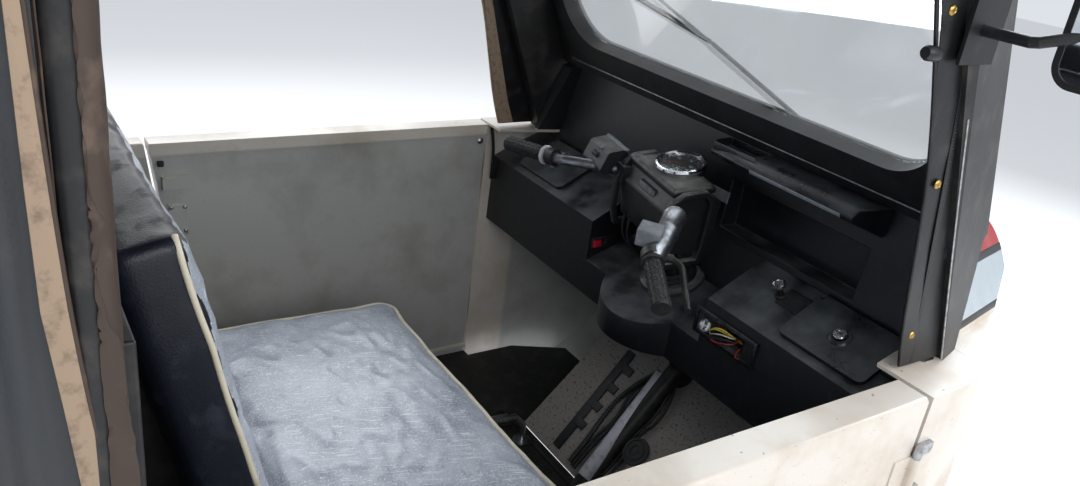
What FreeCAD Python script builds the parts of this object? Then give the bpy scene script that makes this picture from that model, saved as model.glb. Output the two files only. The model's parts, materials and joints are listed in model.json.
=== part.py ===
"""Three-wheeled auto rickshaw: an enclosed driver's cab with half doors, a soft roof
over a rear bench, a steered front wheel on a raked fork and two wheels on trailing arms.

Millimetres. +Z is up, -Y is forward and +X is the vehicle's left. The origin is on the
ground under the middle of the vehicle's box. Every size sits in the sheet "sizes"."""
import FreeCAD, Part
import math
import os
import re
import Sketcher

os.makedirs("parts", exist_ok=True)
doc = FreeCAD.newDocument("auto_rickshaw")
sheet = doc.addObject("Spreadsheet::Sheet", "sizes")

# name, value, what it is
SIZES = (
    ("wheelbase", 1960, "front axle to rear axle"),
    ("front_axle_y", -1150, "front axle along the vehicle"),
    ("front_trim", 1.928, "front axle raised so the turned wheel's edge meets the ground"),
    ("tyre_radius", 235, "standing radius of all three tyres"),
    ("tyre_width", 118, "width of a tyre"),
    ("rim_radius", 130, "bead seat of the rim"),
    ("hub_half", 38, "half the length of a wheel hub"),
    ("axle_radius", 12, "front axle and rear stub axles"),
    ("running_gap", 0.05, "radial clearance of a shaft in its bore"),
    ("seat_gap", 0.3, "gap between pieces that rest on each other"),
    ("rear_wheel_x", 560, "middle of a rear tyre from the centre line"),
    ("half_width", 675, "outer face of the sides from the centre line"),
    ("side_wall", 50, "thickness of the doors and body sides"),
    ("belt_z", 950, "top of the doors and body sides"),
    ("sill_base", 250, "underside of the sills"),
    ("sill_z", 300, "top of the sills"),
    ("floor_z", 285, "top of the floor"),
    ("floor_wall", 6, "thickness of the floor plate"),
    ("door_front_y", -757, "front edge of the doors"),
    ("door_rear_y", 40, "rear edge of the doors at the belt"),
    ("door_lean", 90, "how far the rear edge comes forward at the sill"),
    ("door_gap", 9, "gap round the doors"),
    ("door_rail", 26, "depth of the folded rail along the door's top"),
    ("hinge_radius", 7, "door hinge barrels"),
    ("post_rear_y", 330, "rear edge of the fixed side beside the driver"),
    ("entry_rear_y", 880, "rear edge of the passengers' entry"),
    ("tail_y", 1393.1, "outer face of the tail"),
    ("arch_radius", 278, "rear wheel openings"),
    ("tail_wall", 20, "thickness of the tail panel"),
    ("hatch_half", 380, "half width of the engine hatch opening"),
    ("hatch_base_z", 430, "bottom of the hatch opening"),
    ("hatch_top_z", 800, "top of the hatch opening"),
    ("hatch_gap", 6, "gap round the engine cover"),
    ("rake", 20, "steering axis from the vertical, degrees"),
    ("ring_y", -882.5, "steering axis at the dashboard ring, along the vehicle"),
    ("ring_z", 790, "steering axis at the dashboard ring, height"),
    ("steer_rest", -10, "turn of the steering as parked, degrees"),
    ("stem_radius", 17, "steering stem"),
    ("head_radius", 28, "outside of the steering head"),
    ("leg_x", 97, "fork legs from the middle of the wheel"),
    ("leg_radius", 19, "fork legs"),
    ("fender_gap", 18, "tyre to front mudguard"),
    ("fender_half", 70, "half width of the front mudguard"),
    ("bar_z", 985, "height of the handlebar clamp on the steering axis"),
    ("bar_radius", 11, "handlebar tube"),
    ("grip_radius", 16, "hand grips"),
    ("grip_in_x", 236, "inner end of a grip"),
    ("grip_out_x", 352, "outer end of a grip"),
    ("shell_wall", 40, "thickness of the front cowl"),
    ("shell_top_z", 1165, "top of the cowl below the windscreen"),
    ("nose_y", -1240, "foremost face of the cowl"),
    ("nose_base_z", 565, "underside of the nose above the front wheel"),
    ("arch_half", 262, "half width of the front wheel house"),
    ("arch_roof_z", 560, "top of the front wheel house"),
    ("toe_sum", -450, "y plus z on the face of the sloping toe board"),
    ("toe_wall", 4, "thickness of the toe board"),
    ("screen_y", -949.5, "windscreen plane at screen_z"),
    ("screen_z", 1160, "height where the windscreen plane starts"),
    ("screen_rake", 22, "windscreen from the vertical, degrees"),
    ("screen_half", 552, "half width of the windscreen opening"),
    ("screen_low", 14, "start of the opening up the slope"),
    ("screen_high", 530, "end of the opening up the slope"),
    ("screen_corner", 150, "corner radius of the opening"),
    ("seal_width", 38, "rubber seal across its face"),
    ("frame_thick", 34, "thickness of the windscreen frame"),
    ("glass_thick", 5, "windscreen glass"),
    ("dash_base_z", 685, "underside of the dashboard"),
    ("dash_rear_y", -790, "face of the dashboard towards the driver"),
    ("lip_z", 860, "rear lip of the dashboard"),
    ("deck_y", -922, "end of the sloping deck"),
    ("deck_z", 925, "height of the deck below the windscreen"),
    ("lid_thick", 8, "glove box lids"),
    ("lid_in_x", 350, "inner edge of a glove box lid"),
    ("lid_out_x", 536, "outer edge of a glove box lid"),
    ("roof_z", 1780, "top of the roof"),
    ("roof_wall", 8, "thickness of the roof cover"),
    ("roof_half", 662, "half width of the roof cover"),
    ("valance_z", 1585, "lower edge of the roof along the sides"),
    ("roof_front_y", -735, "front edge of the roof"),
    ("tube_radius", 16, "roof frame tubes"),
    ("post_x", 638, "roof posts from the centre line"),
    ("post_y", 300, "front roof posts along the vehicle"),
    ("partition_y", 270, "front face of the partition"),
    ("partition_wall", 12, "thickness of the partition"),
    ("partition_top_z", 1230, "top of the partition"),
    ("seat_half", 383, "half width of the driver's seat"),
    ("seat_front_y", -415, "front edge of the driver's seat"),
    ("seat_back_y", 57, "rear edge of the driver's seat"),
    ("seat_top_z", 650, "top of the driver's seat"),
    ("seat_thick", 110, "thickness of the driver's seat"),
    ("bench_half", 590, "half width of the rear bench"),
    ("bench_front_y", 640, "front edge of the rear bench"),
    ("bench_top_z", 680, "top of the rear bench"),
    ("bench_deck_z", 550, "top of the deck under the rear bench"),
    ("rail_x", 285, "middle of a chassis rail"),
    ("rail_width", 50, "width of a chassis rail"),
    ("rail_height", 60, "height of a chassis rail"),
    ("mirror_x", 772, "middle of a mirror from the centre line"),
    ("mirror_y", -700, "mirrors along the vehicle"),
    ("mirror_z", 1520, "middle of the mirrors"),
)
for row, (name, value, meaning) in enumerate(SIZES, 1):
    sheet.set("A%d" % row, name)
    sheet.set("B%d" % row, str(value))
    sheet.set("C%d" % row, meaning)
    sheet.setAlias("B%d" % row, name)
doc.recompute()
NAMES = re.compile(r"\b(" + "|".join(sorted((n for n, _, _ in SIZES), key=len, reverse=True)) + r")\b")
nodes = {}


class Read:
    """size.belt_z reads the cell of that name."""
    def __getattr__(self, name):
        return float(getattr(sheet, name))


size = Read()
X, Y, Z = FreeCAD.Vector(1, 0, 0), FreeCAD.Vector(0, 1, 0), FreeCAD.Vector(0, 0, 1)


def cell(text):
    """Turn "belt_z - 5" into an expression on the sheet."""
    return NAMES.sub(r"sizes.\1", str(text))


def vec(x, y, z):
    return FreeCAD.Vector(x, y, z)


def keep(label, obj):
    """The object is the sub-part of that name."""
    obj.Label = label
    nodes[label] = obj
    return obj


def plane(body, role):
    return next(f for f in body.Origin.OriginFeatures if f.Role == role + "_Plane")


def outline(body, role, points, offset="0"):
    """A sketch of straight runs, each corner held by two expressions."""
    sketch = body.newObject("Sketcher::SketchObject", body.Name + "_outline")
    sketch.AttachmentSupport = (plane(body, role), "")
    sketch.MapMode = "FlatFace"
    sketch.setExpression("AttachmentOffset.Base.z", cell(offset))
    at = [tuple(float(sketch.evalExpression(cell(e))) for e in point) for point in points]
    for i, start in enumerate(at):
        end = at[(i + 1) % len(at)]
        sketch.addGeometry(Part.LineSegment(vec(*start, 0), vec(*end, 0)), False)
    for i in range(len(at)):
        sketch.addConstraint(Sketcher.Constraint("Coincident", i, 2, (i + 1) % len(at), 1))
    for i, point in enumerate(points):
        for way, text, value in zip(("DistanceX", "DistanceY"), point, at[i]):
            held = sketch.addConstraint(Sketcher.Constraint(way, -1, 1, i, 1, value))
            sketch.setExpression("Constraints[%d]" % held, cell(text))
    return sketch


def pad(label, role, points, length, offset="0", middle=False):
    """A body of one outline, pushed out by length."""
    body = doc.addObject("PartDesign::Body", label)
    sketch = outline(body, role, points, offset)
    push = body.newObject("PartDesign::Pad", label + "_pad")
    push.Profile = sketch
    push.Midplane = middle
    push.setExpression("Length", cell(length))
    body.Tip = push
    return body


def more(body, role, points, length, offset="0", middle=False, kind="Pad"):
    """Add a second outline to the body, or cut it out with kind="Pocket"."""
    sketch = outline(body, role, points, offset)
    push = body.newObject("PartDesign::" + kind, body.Name + "_" + kind.lower())
    push.Profile = sketch
    push.Midplane = middle
    push.setExpression("Length", cell(length))
    body.Tip = push
    return push


def soften(body, way, radius, pick=lambda box: True):
    """Round the body's straight edges that run along way."""
    doc.recompute()
    last, found = body.Tip, []
    for number, edge in enumerate(body.Shape.Edges, 1):
        if len(edge.Vertexes) == 2 and isinstance(edge.Curve, Part.Line):
            along = (edge.Vertexes[1].Point - edge.Vertexes[0].Point).normalize()
            if abs(along.dot(way)) > 0.999 and pick(edge.BoundBox):
                found.append("Edge%d" % number)
    fillet = body.newObject("PartDesign::Fillet", body.Name + "_fillet")
    fillet.Base = (last, found)
    fillet.setExpression("Radius", cell(radius))
    body.Tip = fillet


def mirror(label, source):
    """The same piece on the other side of the centre line."""
    twin = doc.addObject("Part::Mirroring", label)
    twin.Source = source
    twin.Normal = X
    return twin


def both(label, source):
    """One sub-part of a left piece and its right twin."""
    pair = doc.addObject("Part::Compound", label)
    pair.Links = [source, mirror(source.Name + "_right", source)]
    return keep(label, pair)


def solid(label, shape, placement=None):
    """A sub-part whose shape is worked out below from the sheet."""
    obj = doc.addObject("Part::Feature", label)
    obj.Shape = shape.removeSplitter()
    if placement:
        obj.Placement = placement
    return keep(label, obj)


def box(x0, y0, z0, x1, y1, z1):
    return Part.makeBox(x1 - x0, y1 - y0, z1 - z0, vec(x0, y0, z0))


def rod(start, end, radius):
    run = end - start
    return Part.makeCylinder(radius, run.Length, start, run)


def side_prism(points, x0, x1):
    """A prism across the vehicle from an outline of (y, z) corners or edges."""
    if isinstance(points[0], tuple):
        wire = Part.makePolygon([vec(x0, y, z) for y, z in points + [points[0]]])
    else:
        wire = Part.Wire(points)
        wire.translate(vec(x0, 0, 0))
    return Part.Face(wire).extrude(vec(x1 - x0, 0, 0))


def arc(a, b, c):
    return Part.Arc(vec(*a), vec(*b), vec(*c)).toShape()


def line(a, b):
    return Part.LineSegment(vec(*a), vec(*b)).toShape()


def pipe(points, radius, bend):
    """A tube through the points, each inner corner taken in two mitres of a bend's reach."""
    path = [points[0]]
    for before, corner, after in zip(points, points[1:], points[2:]):
        a, b = (before - corner).normalize(), (after - corner).normalize()
        reach = bend / math.tan(a.getAngle(b) / 2)
        path += [corner + a * reach, corner + b * reach]
    path.append(points[-1])
    ring = Part.Wire(Part.makeCircle(radius, path[0], path[1] - path[0]))
    mitred = 1
    return Part.makePolygon(path).makePipeShell([ring], True, True, mitred)


def half_space(at, way):
    """A large block that starts at the point and fills the side that way points to."""
    block = Part.makeBox(2000, 2000, 2000, vec(-1000, -1000, 0))
    block.Placement = FreeCAD.Placement(at, FreeCAD.Rotation(Z, way))
    return block.fuse(block.mirror(vec(0, 0, 0), X))


# Steering geometry: a point on the raked axis, the axle below it and the turn at rest
tilt = math.radians(size.rake)
up_axis = vec(0, math.sin(tilt), math.cos(tilt))
rear_axis = vec(0, math.cos(tilt), -math.sin(tilt))
ring = vec(0, size.ring_y, size.ring_z)
axle = vec(0, size.front_axle_y, size.tyre_radius + size.front_trim)
offset = (ring - axle).dot(rear_axis)
foot = axle + rear_axis * offset
turned = FreeCAD.Placement(vec(0, 0, 0), FreeCAD.Rotation(up_axis, size.steer_rest), ring)
rear_axle_y = size.front_axle_y + size.wheelbase


def on_axis(rise):
    """The point of the steering axis that lies rise above the axle, along the axis."""
    return foot + up_axis * rise


def axis_at(z):
    return ring + up_axis * ((z - size.ring_z) / math.cos(tilt))


# Chassis: two rails, cross members, the backbone up to the steering head and the bumper
rail_base = size.floor_z - size.floor_wall - size.rail_height
rail_top = rail_base + size.rail_height
bumper_radius, bumper_z = 20, 350
tail_end = size.tail_y + bumper_radius
head_low, head_high = 290, 560
frame = [box(side * size.rail_x - size.rail_width / 2, -735, rail_base,
             side * size.rail_x + size.rail_width / 2, tail_end - bumper_radius, rail_top)
         for side in (-1, 1)]
for y in (-735, -80, size.partition_y, 480, 930, 1210):
    frame.append(box(-size.rail_x, y, rail_base, size.rail_x, y + 45, rail_top))
frame.append(rod(vec(-560, tail_end - bumper_radius, bumper_z),
                 vec(560, tail_end - bumper_radius, bumper_z), bumper_radius))
for side in (-1, 1):
    frame.append(box(side * size.rail_x - 15, tail_end - 2 * bumper_radius - 12, rail_top - 10,
                     side * size.rail_x + 15, tail_end - bumper_radius, bumper_z))
frame.append(rod(on_axis(head_low), on_axis(head_high), size.head_radius))
spine_foot = vec(0, -708, rail_top - 12)
frame.append(rod(on_axis(head_low + 75), spine_foot, 22))
tow_y, tow_radius = tail_end - 52, 13
frame.append(box(-30, 1250, rail_base + 22, 30, tow_y + 30, rail_base + 38))
chassis = frame[0].multiFuse(frame[1:])
chassis = chassis.cut(rod(on_axis(head_low - 5), on_axis(head_high + 5),
                          size.stem_radius + size.running_gap))
chassis = chassis.cut(rod(vec(0, tow_y, rail_base), vec(0, tow_y, rail_top), tow_radius))
solid("chassis_frame", chassis)

# Floor: one plate with wells beside the wheel house, sills and a slot for the backbone
floor = pad("floor_pan", "XY", [
    ("-half_width + side_wall", "door_front_y + 22"), ("-arch_half - 1", "door_front_y + 22"),
    ("-arch_half - 1", "-1044"), ("-530", "-1044"), ("-600", "-900"),
    ("-600", "door_front_y - 2"), ("-half_width + side_wall", "door_front_y - 2"),
], "floor_wall", "floor_z - floor_wall")
keep("floor_pan", floor)
more(floor, "XY", [
    ("half_width - side_wall", "door_front_y + 22"), ("arch_half + 1", "door_front_y + 22"),
    ("arch_half + 1", "-1044"), ("530", "-1044"), ("600", "-900"),
    ("600", "door_front_y - 2"), ("half_width - side_wall", "door_front_y - 2"),
], "floor_wall", "floor_z - floor_wall")
more(floor, "XY", [
    ("-half_width + side_wall", "door_front_y + 22"), ("half_width - side_wall", "door_front_y + 22"),
    ("half_width - side_wall", "535"), ("478", "535"), ("478", "bench_front_y + 60"),
    ("-478", "bench_front_y + 60"), ("-478", "535"), ("-half_width + side_wall", "535"),
], "floor_wall", "floor_z - floor_wall")
more(floor, "XY", [("-26", "-740"), ("26", "-740"), ("26", "-660"), ("-26", "-660")],
     "floor_wall + 2", "floor_z + 1", kind="Pocket")

# Wheel house with the sloping toe board, open below and ahead for the steered wheel
root2 = math.sqrt(2) * size.toe_wall
toe_foot_y = size.toe_sum - size.floor_z
toe_top_y = size.toe_sum - size.arch_roof_z
front_end = size.nose_y + size.shell_wall + 12
house = side_prism([(toe_foot_y, size.floor_z), (toe_top_y, size.arch_roof_z),
                    (front_end, size.arch_roof_z), (front_end, size.floor_z)],
                   -size.arch_half, size.arch_half)
inner_roof = size.arch_roof_z - size.toe_wall
house = house.cut(side_prism([
    (size.toe_sum - root2 - size.floor_z + 2, size.floor_z - 2),
    (size.toe_sum - root2 - inner_roof, inner_roof), (front_end - 1, inner_roof),
    (front_end - 1, size.floor_z - 2)], size.toe_wall - size.arch_half, size.arch_half - size.toe_wall))
house = house.cut(rod(on_axis(250), on_axis(430), size.head_radius + 2))
house = house.cut(rod(on_axis(head_low + 75), spine_foot, 22 + size.seat_gap))
solid("toe_board", house)


# Front cowl: a plan outline and a side outline pushed through each other, with the upper
# corners drawn in beside the lamps
SHOULDER_X = 568


def cowl_block(inset, reach):
    """The nose as a solid, every face moved in by inset, its open end at reach."""
    wide, nose = size.half_width - inset, size.nose_y + inset
    plan = [arc((wide, -800, 0), (wide - 43, -1000, 0), (wide - 165, -1165, 0)),
            arc((wide - 165, -1165, 0), (0, nose, 0), (165 - wide, -1165, 0)),
            arc((165 - wide, -1165, 0), (43 - wide, -1000, 0), (-wide, -800, 0)),
            line((-wide, -800, 0), (-wide, reach, 0)), line((-wide, reach, 0), (wide, reach, 0)),
            line((wide, reach, 0), (wide, -800, 0))]
    top, base = size.shell_top_z - inset, size.sill_base
    nose_base, knee = size.nose_base_z + inset * 0.3, -1130 + inset * 0.8
    rise = (-865, size.belt_z) if inset == 0 else (reach - 1, top)
    side = [line((0, reach, base), (0, reach, rise[1])), line((0, reach, rise[1]), (0, *rise)),
            line((0, *rise), (0, -930, top)), line((0, -930, top), (0, -968, top)),
            arc((0, -968, top), (0, nose + 95, top - 125), (0, nose + 22, top - 330)),
            line((0, nose + 22, top - 330), (0, nose, top - 470)),
            line((0, nose, top - 470), (0, nose, nose_base)),
            line((0, nose, nose_base), (0, knee, 330 + inset * 0.3)),
            line((0, knee, 330 + inset * 0.3), (0, knee + 70, base)),
            line((0, knee + 70, base), (0, reach, base))]
    outer = Part.Face(Part.Wire(plan)).extrude(vec(0, 0, 1400))
    corner = half_space(vec(SHOULDER_X - inset, -1000, size.belt_z), vec(1, -0.2, 0.186))
    corner = corner.common(box(-900, -1400, size.belt_z - inset * 0.15, 900, 0, 1400))
    return outer.common(side_prism(side, -800, 800)).cut(corner)


screen_tilt = math.radians(size.screen_rake)
up_screen = vec(0, math.sin(screen_tilt), math.cos(screen_tilt))
out_screen = vec(0, -math.cos(screen_tilt), math.sin(screen_tilt))
screen_foot = vec(0, size.screen_y, size.screen_z)


def screen_block(half_low, half_high, low, high, corner, near, far):
    """A rounded plate in the windscreen's plane, from near to far ahead of it."""
    corners = [(-half_low, low), (half_low, low), (half_high, high), (-half_high, high)]
    flat = Part.makePolygon([vec(x, y, 0) for x, y in corners + [corners[0]]])
    plate = Part.Face(flat).extrude(vec(0, 0, far - near))
    upright = [e for e in plate.Edges if abs(e.Vertexes[0].Z - e.Vertexes[-1].Z) > 1]
    plate = plate.makeFillet(corner, upright)
    turn = FreeCAD.Rotation(X, up_screen, out_screen, "XYZ")
    plate.Placement = FreeCAD.Placement(screen_foot + out_screen * near, turn)
    return plate


def screen_opening(grow, near, far):
    """The windscreen opening, every edge moved out by grow."""
    return screen_block(size.screen_half + grow, size.screen_half - 18 + grow,
                        size.screen_low - grow, size.screen_high + grow,
                        size.screen_corner + grow, near, far)


cab_front_y = size.door_front_y - size.door_gap
shell = cowl_block(0, cab_front_y)
shell = shell.cut(cowl_block(size.shell_wall, cab_front_y + 1))
shell = shell.cut(box(-size.arch_half - size.seat_gap, size.nose_y - 1, size.sill_base - 1,
                      size.arch_half + size.seat_gap, cab_front_y + 1, size.nose_base_z - 2))
frame_low = -26
frame_room = screen_block(700, 700, frame_low - size.seat_gap, 700, 20, -400, 6)
shell = shell.cut(frame_room)

# Lamps sit in windows cut through the cowl's front corners and carry on its outer face
LAMPS = (  # name, low z, high z, inner x, rear y
    ("lens", 975, 1068, 430, -961),
    ("marker", 1084, 1148, 455, -961),
)
rim = 14
bezel_block = box(LAMPS[0][3] - rim, -1300, LAMPS[0][1] - rim, 700, LAMPS[0][4] + rim, LAMPS[1][2] + rim)
skin = cowl_block(0, cab_front_y)
for side in (-1, 1):
    window = bezel_block if side > 0 else bezel_block.mirror(vec(0, 0, 0), X)
    shell = shell.cut(window)
pillar_in, pillar_out = 570, size.half_width - size.side_wall - 13
post_room = side_prism([(-800, size.belt_z - 0.3), (-800, 1200), (-945, 1200), (-944.4, 1136),
                        (-935.3, size.belt_z - 0.3)], pillar_in - size.seat_gap, 700)
post_room = post_room.fuse(post_room.mirror(vec(0, 0, 0), X))
solid("front_shell", shell.cut(post_room))

cluster = skin.common(bezel_block).cut(cowl_block(size.shell_wall - 4, cab_front_y + 1))
lens_blocks = [box(x, -1300, low, 700, y, high) for _, low, high, x, y in LAMPS]
lens_depth = cowl_block(12, cab_front_y + 1)
recess = skin.common(lens_blocks[0].multiFuse(lens_blocks[1:])).cut(lens_depth)
left_housing = cluster.cut(recess).cut(frame_room)
lenses = skin.common(lens_blocks[0]).cut(lens_depth)
marker = skin.common(lens_blocks[1]).cut(lens_depth)
for label, piece in (("lamp_housings", left_housing), ("headlamp_lenses", lenses),
                     ("marker_lenses", marker)):
    solid(label, Part.makeCompound([piece, piece.mirror(vec(0, 0, 0), X)]))

# Windscreen: frame with pillars, rubber seal and glass
frame_plate = screen_block(612, 596, frame_low, 592, 60, -size.frame_thick, 0)
frame_plate = frame_plate.cut(screen_opening(0, -size.frame_thick - 1, 1))
pillar_points = [(-880, size.belt_z), (-935, size.belt_z), (-944, 1136), (-716, 1690),
                 (-660, 1712), (-570, 1712)]
for side in (-1, 1):
    near, far = sorted((side * pillar_out, side * pillar_in))
    frame_plate = frame_plate.fuse(side_prism(pillar_points, near, far))
header = side_prism([(-660, 1690), (-660, 1712), (-570, 1712), (-579, 1690)],
                    -pillar_out, pillar_out)
outer_face = half_space(vec(615, -727, 1349), vec(1, -0.278, 0.097))
solid("windscreen_frame", frame_plate.fuse(header).cut(outer_face))
lip = size.frame_thick + 6
seal = screen_opening(0, -lip, 6).fuse(screen_opening(14, -lip, -size.frame_thick))
seal = seal.cut(screen_opening(-size.seal_width, -lip - 1, 7))
glass = screen_opening(-size.seal_width, -8, -8 + size.glass_thick)
solid("windscreen_seal", seal)
solid("windscreen_glass", glass)

# Glove box lids: where they lie on the sloping deck and where their hinge pins run
slope = math.atan2(size.deck_z - size.lip_z, size.dash_rear_y - 3 - size.deck_y)
down_slope = vec(0, math.cos(slope), -math.sin(slope))
off_slope = vec(0, math.sin(slope), math.cos(slope))
lid_turn = FreeCAD.Rotation(X, down_slope, off_slope, "XYZ")
lid_seat = vec(0, size.deck_y, size.deck_z) + off_slope * 1.5 + down_slope * 8
lid_axis = lid_seat + off_slope * (size.lid_thick / 2)
ear_wide, lid_pin_radius = 8, 2

# Dashboard: a moulding across the cab with a low middle round the steering column, and the
# fascia that stands behind it under the windscreen
dash = side_prism([(size.dash_rear_y, size.dash_base_z), (size.dash_rear_y - 3, size.lip_z),
                   (size.deck_y, size.deck_z), (size.deck_y - 18, 1125), (size.deck_y - 50, 1125),
                   (size.deck_y - 75, size.dash_base_z)], -700, 700)
scoop_half, bulge_radius, column_radius = 190, 130, 50
scoop = side_prism([(-700, 734), (-700, 1000), (size.deck_y - 1, 1000), (size.deck_y - 1, 812)],
                   -scoop_half, scoop_half)
dash = dash.common(cowl_block(size.shell_wall + size.seat_gap, cab_front_y))
upper = box(-700, -1100, size.deck_z, 700, -700, 1200)
fascia = dash.common(upper.translated(Z * size.seat_gap))
dash = dash.cut(upper)
dash = dash.fuse(Part.makeCylinder(bulge_radius, 200, vec(0, size.ring_y + 25, size.dash_base_z)))
dash = dash.cut(scoop)
dash = dash.fuse(rod(axis_at(772), axis_at(806), column_radius + 12))
dash = dash.cut(rod(axis_at(600), axis_at(1000), column_radius))
box_low = 745
for side in (-1, 1):
    near, far = sorted((side * (size.lid_in_x + 10), side * (size.lid_out_x - 10)))
    dash = dash.cut(box(near, size.deck_y + 15, box_low, far, size.dash_rear_y - 20, 1000))
fascia = fascia.cut(box(-400, size.deck_y - 45, 940, -60, size.deck_y + 5, 1040))
dash = dash.cut(box(-300, size.dash_rear_y - 25, 792, -252, size.dash_rear_y + 5, 832))
for side in (-1, 1):
    first = size.lid_in_x if side > 0 else -size.lid_out_x
    last = size.lid_out_x if side > 0 else -size.lid_in_x
    dash = dash.fuse(rod(lid_axis + X * (first + 1), lid_axis + X * (last - 1),
                         lid_pin_radius))
    corners = [lid_axis + off_slope * a + down_slope * b
               for a, b in ((-9, -5), (1, -5), (4, -2), (4, 2), (1, 5), (-9, 5))]
    for x in (first, last - ear_wide):
        dash = dash.fuse(side_prism([(p.y, p.z) for p in corners], x, x + ear_wide))
solid("dashboard", dash.cut(post_room))
solid("dash_fascia", fascia.cut(post_room))

# Binnacle: a long hooded box above the deck with an open pocket at its inner end
binnacle = pad("dash_binnacle", "YZ", [
    ("deck_y + 64", "1096"), ("deck_y + 64", "1123"), ("deck_y - 16.8", "1123"), ("deck_y - 11.6", "1066"),
], "389", "-418")
keep("dash_binnacle", binnacle)
more(binnacle, "YZ", [
    ("deck_y + 58", "1102"), ("deck_y + 58", "1130"), ("deck_y - 6", "1130"), ("deck_y - 6", "1084"),
], "110", "-35", kind="Pocket")

# Glove box lids with a barrel along the forward edge and a round lock
lid_long = 118
lid_wide = size.lid_out_x - size.lid_in_x
lid = Part.makeBox(lid_wide, lid_long, size.lid_thick)
lid = lid.makeFillet(14, [e for e in lid.Edges if abs(e.Vertexes[0].Z - e.Vertexes[-1].Z) > 1
                          and e.Vertexes[0].Y > 1])
lid = lid.fuse(rod(vec(10, 0, size.lid_thick / 2), vec(lid_wide - 10, 0, size.lid_thick / 2), 4))
lid = lid.fuse(rod(vec(lid_wide / 2, lid_long - 58, 0), vec(lid_wide / 2, lid_long - 58, 14), 11))
lid_pin = rod(vec(-10, 0, size.lid_thick / 2), vec(lid_wide + 10, 0, size.lid_thick / 2),
              lid_pin_radius + size.running_gap)
lid = lid.cut(lid_pin)
for x in (0, lid_wide - ear_wide - 1):
    lid = lid.cut(box(x - 1, -6, -1, x + ear_wide + 2, 11, 20))
for side, label in ((1, "glovebox_lid_left"), (-1, "glovebox_lid_right")):
    start = size.lid_in_x if side > 0 else -size.lid_out_x
    solid(label, lid.copy(), FreeCAD.Placement(vec(start, 0, 0) + lid_seat, lid_turn))

# Body sides: sill, fixed panel beside the driver, entry and rear quarter with the wheel opening
inner_side, tail_in = "half_width - side_wall", "tail_y - tail_wall - seat_gap"
lower_z, entry_sill_z = 400, 320
side_body = pad("body_side_left", "YZ", [
    ("door_front_y - door_gap + seat_gap", "sill_base"), ("door_front_y - door_gap + seat_gap", "sill_z"),
    ("door_rear_y - door_lean + door_gap", "sill_z"), ("door_rear_y + door_gap", "belt_z"),
    ("post_rear_y", "belt_z"), ("post_rear_y", entry_sill_z), ("490", entry_sill_z), ("530", "560"),
    ("entry_rear_y", "620"), ("entry_rear_y", "belt_z"), (tail_in, "belt_z"), (tail_in, lower_z),
    ("entry_rear_y", lower_z), ("entry_rear_y", "sill_base"),
], "side_wall", inner_side)


def round_hole(body, role, centre, radius, length, shift):
    """A round opening through the body, its centre and radius held by expressions."""
    sketch = body.newObject("Sketcher::SketchObject", body.Name + "_opening")
    sketch.AttachmentSupport = (plane(body, role), "")
    sketch.MapMode = "FlatFace"
    sketch.setExpression("AttachmentOffset.Base.z", cell(shift))
    at = [float(sketch.evalExpression(cell(e))) for e in (*centre, radius)]
    sketch.addGeometry(Part.Circle(vec(at[0], at[1], 0), Z, at[2]), False)
    for way, text, value in zip(("DistanceX", "DistanceY"), centre, at):
        held = sketch.addConstraint(Sketcher.Constraint(way, -1, 1, 0, 3, value))
        sketch.setExpression("Constraints[%d]" % held, cell(text))
    held = sketch.addConstraint(Sketcher.Constraint("Radius", 0, at[2]))
    sketch.setExpression("Constraints[%d]" % held, cell(radius))
    hole = body.newObject("PartDesign::Pocket", body.Name + "_hole")
    hole.Profile = sketch
    hole.Midplane = True
    hole.setExpression("Length", cell(length))
    body.Tip = hole


round_hole(side_body, "YZ", ("front_axle_y + wheelbase", "tyre_radius"), "arch_radius",
           "side_wall * 3", "half_width")
soften(side_body, Y, "8", lambda b: b.ZMin > size.belt_z - 1 and b.XMin > size.half_width - 1)
keep("body_side_left", side_body)
keep("body_side_right", mirror("body_side_right", side_body))

# Doors: a flat panel under a folded rail, with hinge barrels on the front edge
hinge_x, hinge_y = size.half_width + 8, (size.door_front_y - size.door_gap / 2)
HINGES = (430, 820)
knuckle, pin_radius = 30, 3.5
door_body = pad("door_left_panel", "YZ", [
    ("door_front_y", "sill_z + door_gap"), ("door_rear_y - door_lean", "sill_z + door_gap"),
    ("door_rear_y", "belt_z"), ("door_front_y", "belt_z"),
], "side_wall - 2", "half_width - side_wall + 2")
more(door_body, "YZ", [
    ("door_front_y", "belt_z - door_rail"), ("door_rear_y - 2", "belt_z - door_rail"),
    ("door_rear_y", "belt_z"), ("door_front_y", "belt_z"),
], "side_wall + 5", "half_width - side_wall - 5")
soften(door_body, Y, "8", lambda b: b.ZMin > size.belt_z - 1 and b.XMin > size.half_width - 1)
doc.recompute()
door = door_body.Shape.copy()
for z in HINGES:
    barrel = rod(vec(hinge_x, hinge_y, z - knuckle), vec(hinge_x, hinge_y, z + knuckle), size.hinge_radius)
    leaf = box(size.half_width - 2, hinge_y, z - knuckle, size.half_width + 3, hinge_y + 42, z + knuckle)
    wrap = box(size.half_width, hinge_y, z - knuckle, hinge_x, hinge_y + size.hinge_radius, z + knuckle)
    door = door.fuse([barrel, leaf, wrap])
    door = door.cut(rod(vec(hinge_x, hinge_y, z - 60), vec(hinge_x, hinge_y, z + 60),
                        pin_radius + size.running_gap))
latch_y, latch_z = size.door_rear_y - 46, 862
door = door.fuse(box(612, latch_y - 32, latch_z - 14, 630, latch_y + 24, latch_z + 14))
solid("door_left", door)
solid("door_right", door.mirror(vec(0, 0, 0), X))

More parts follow.
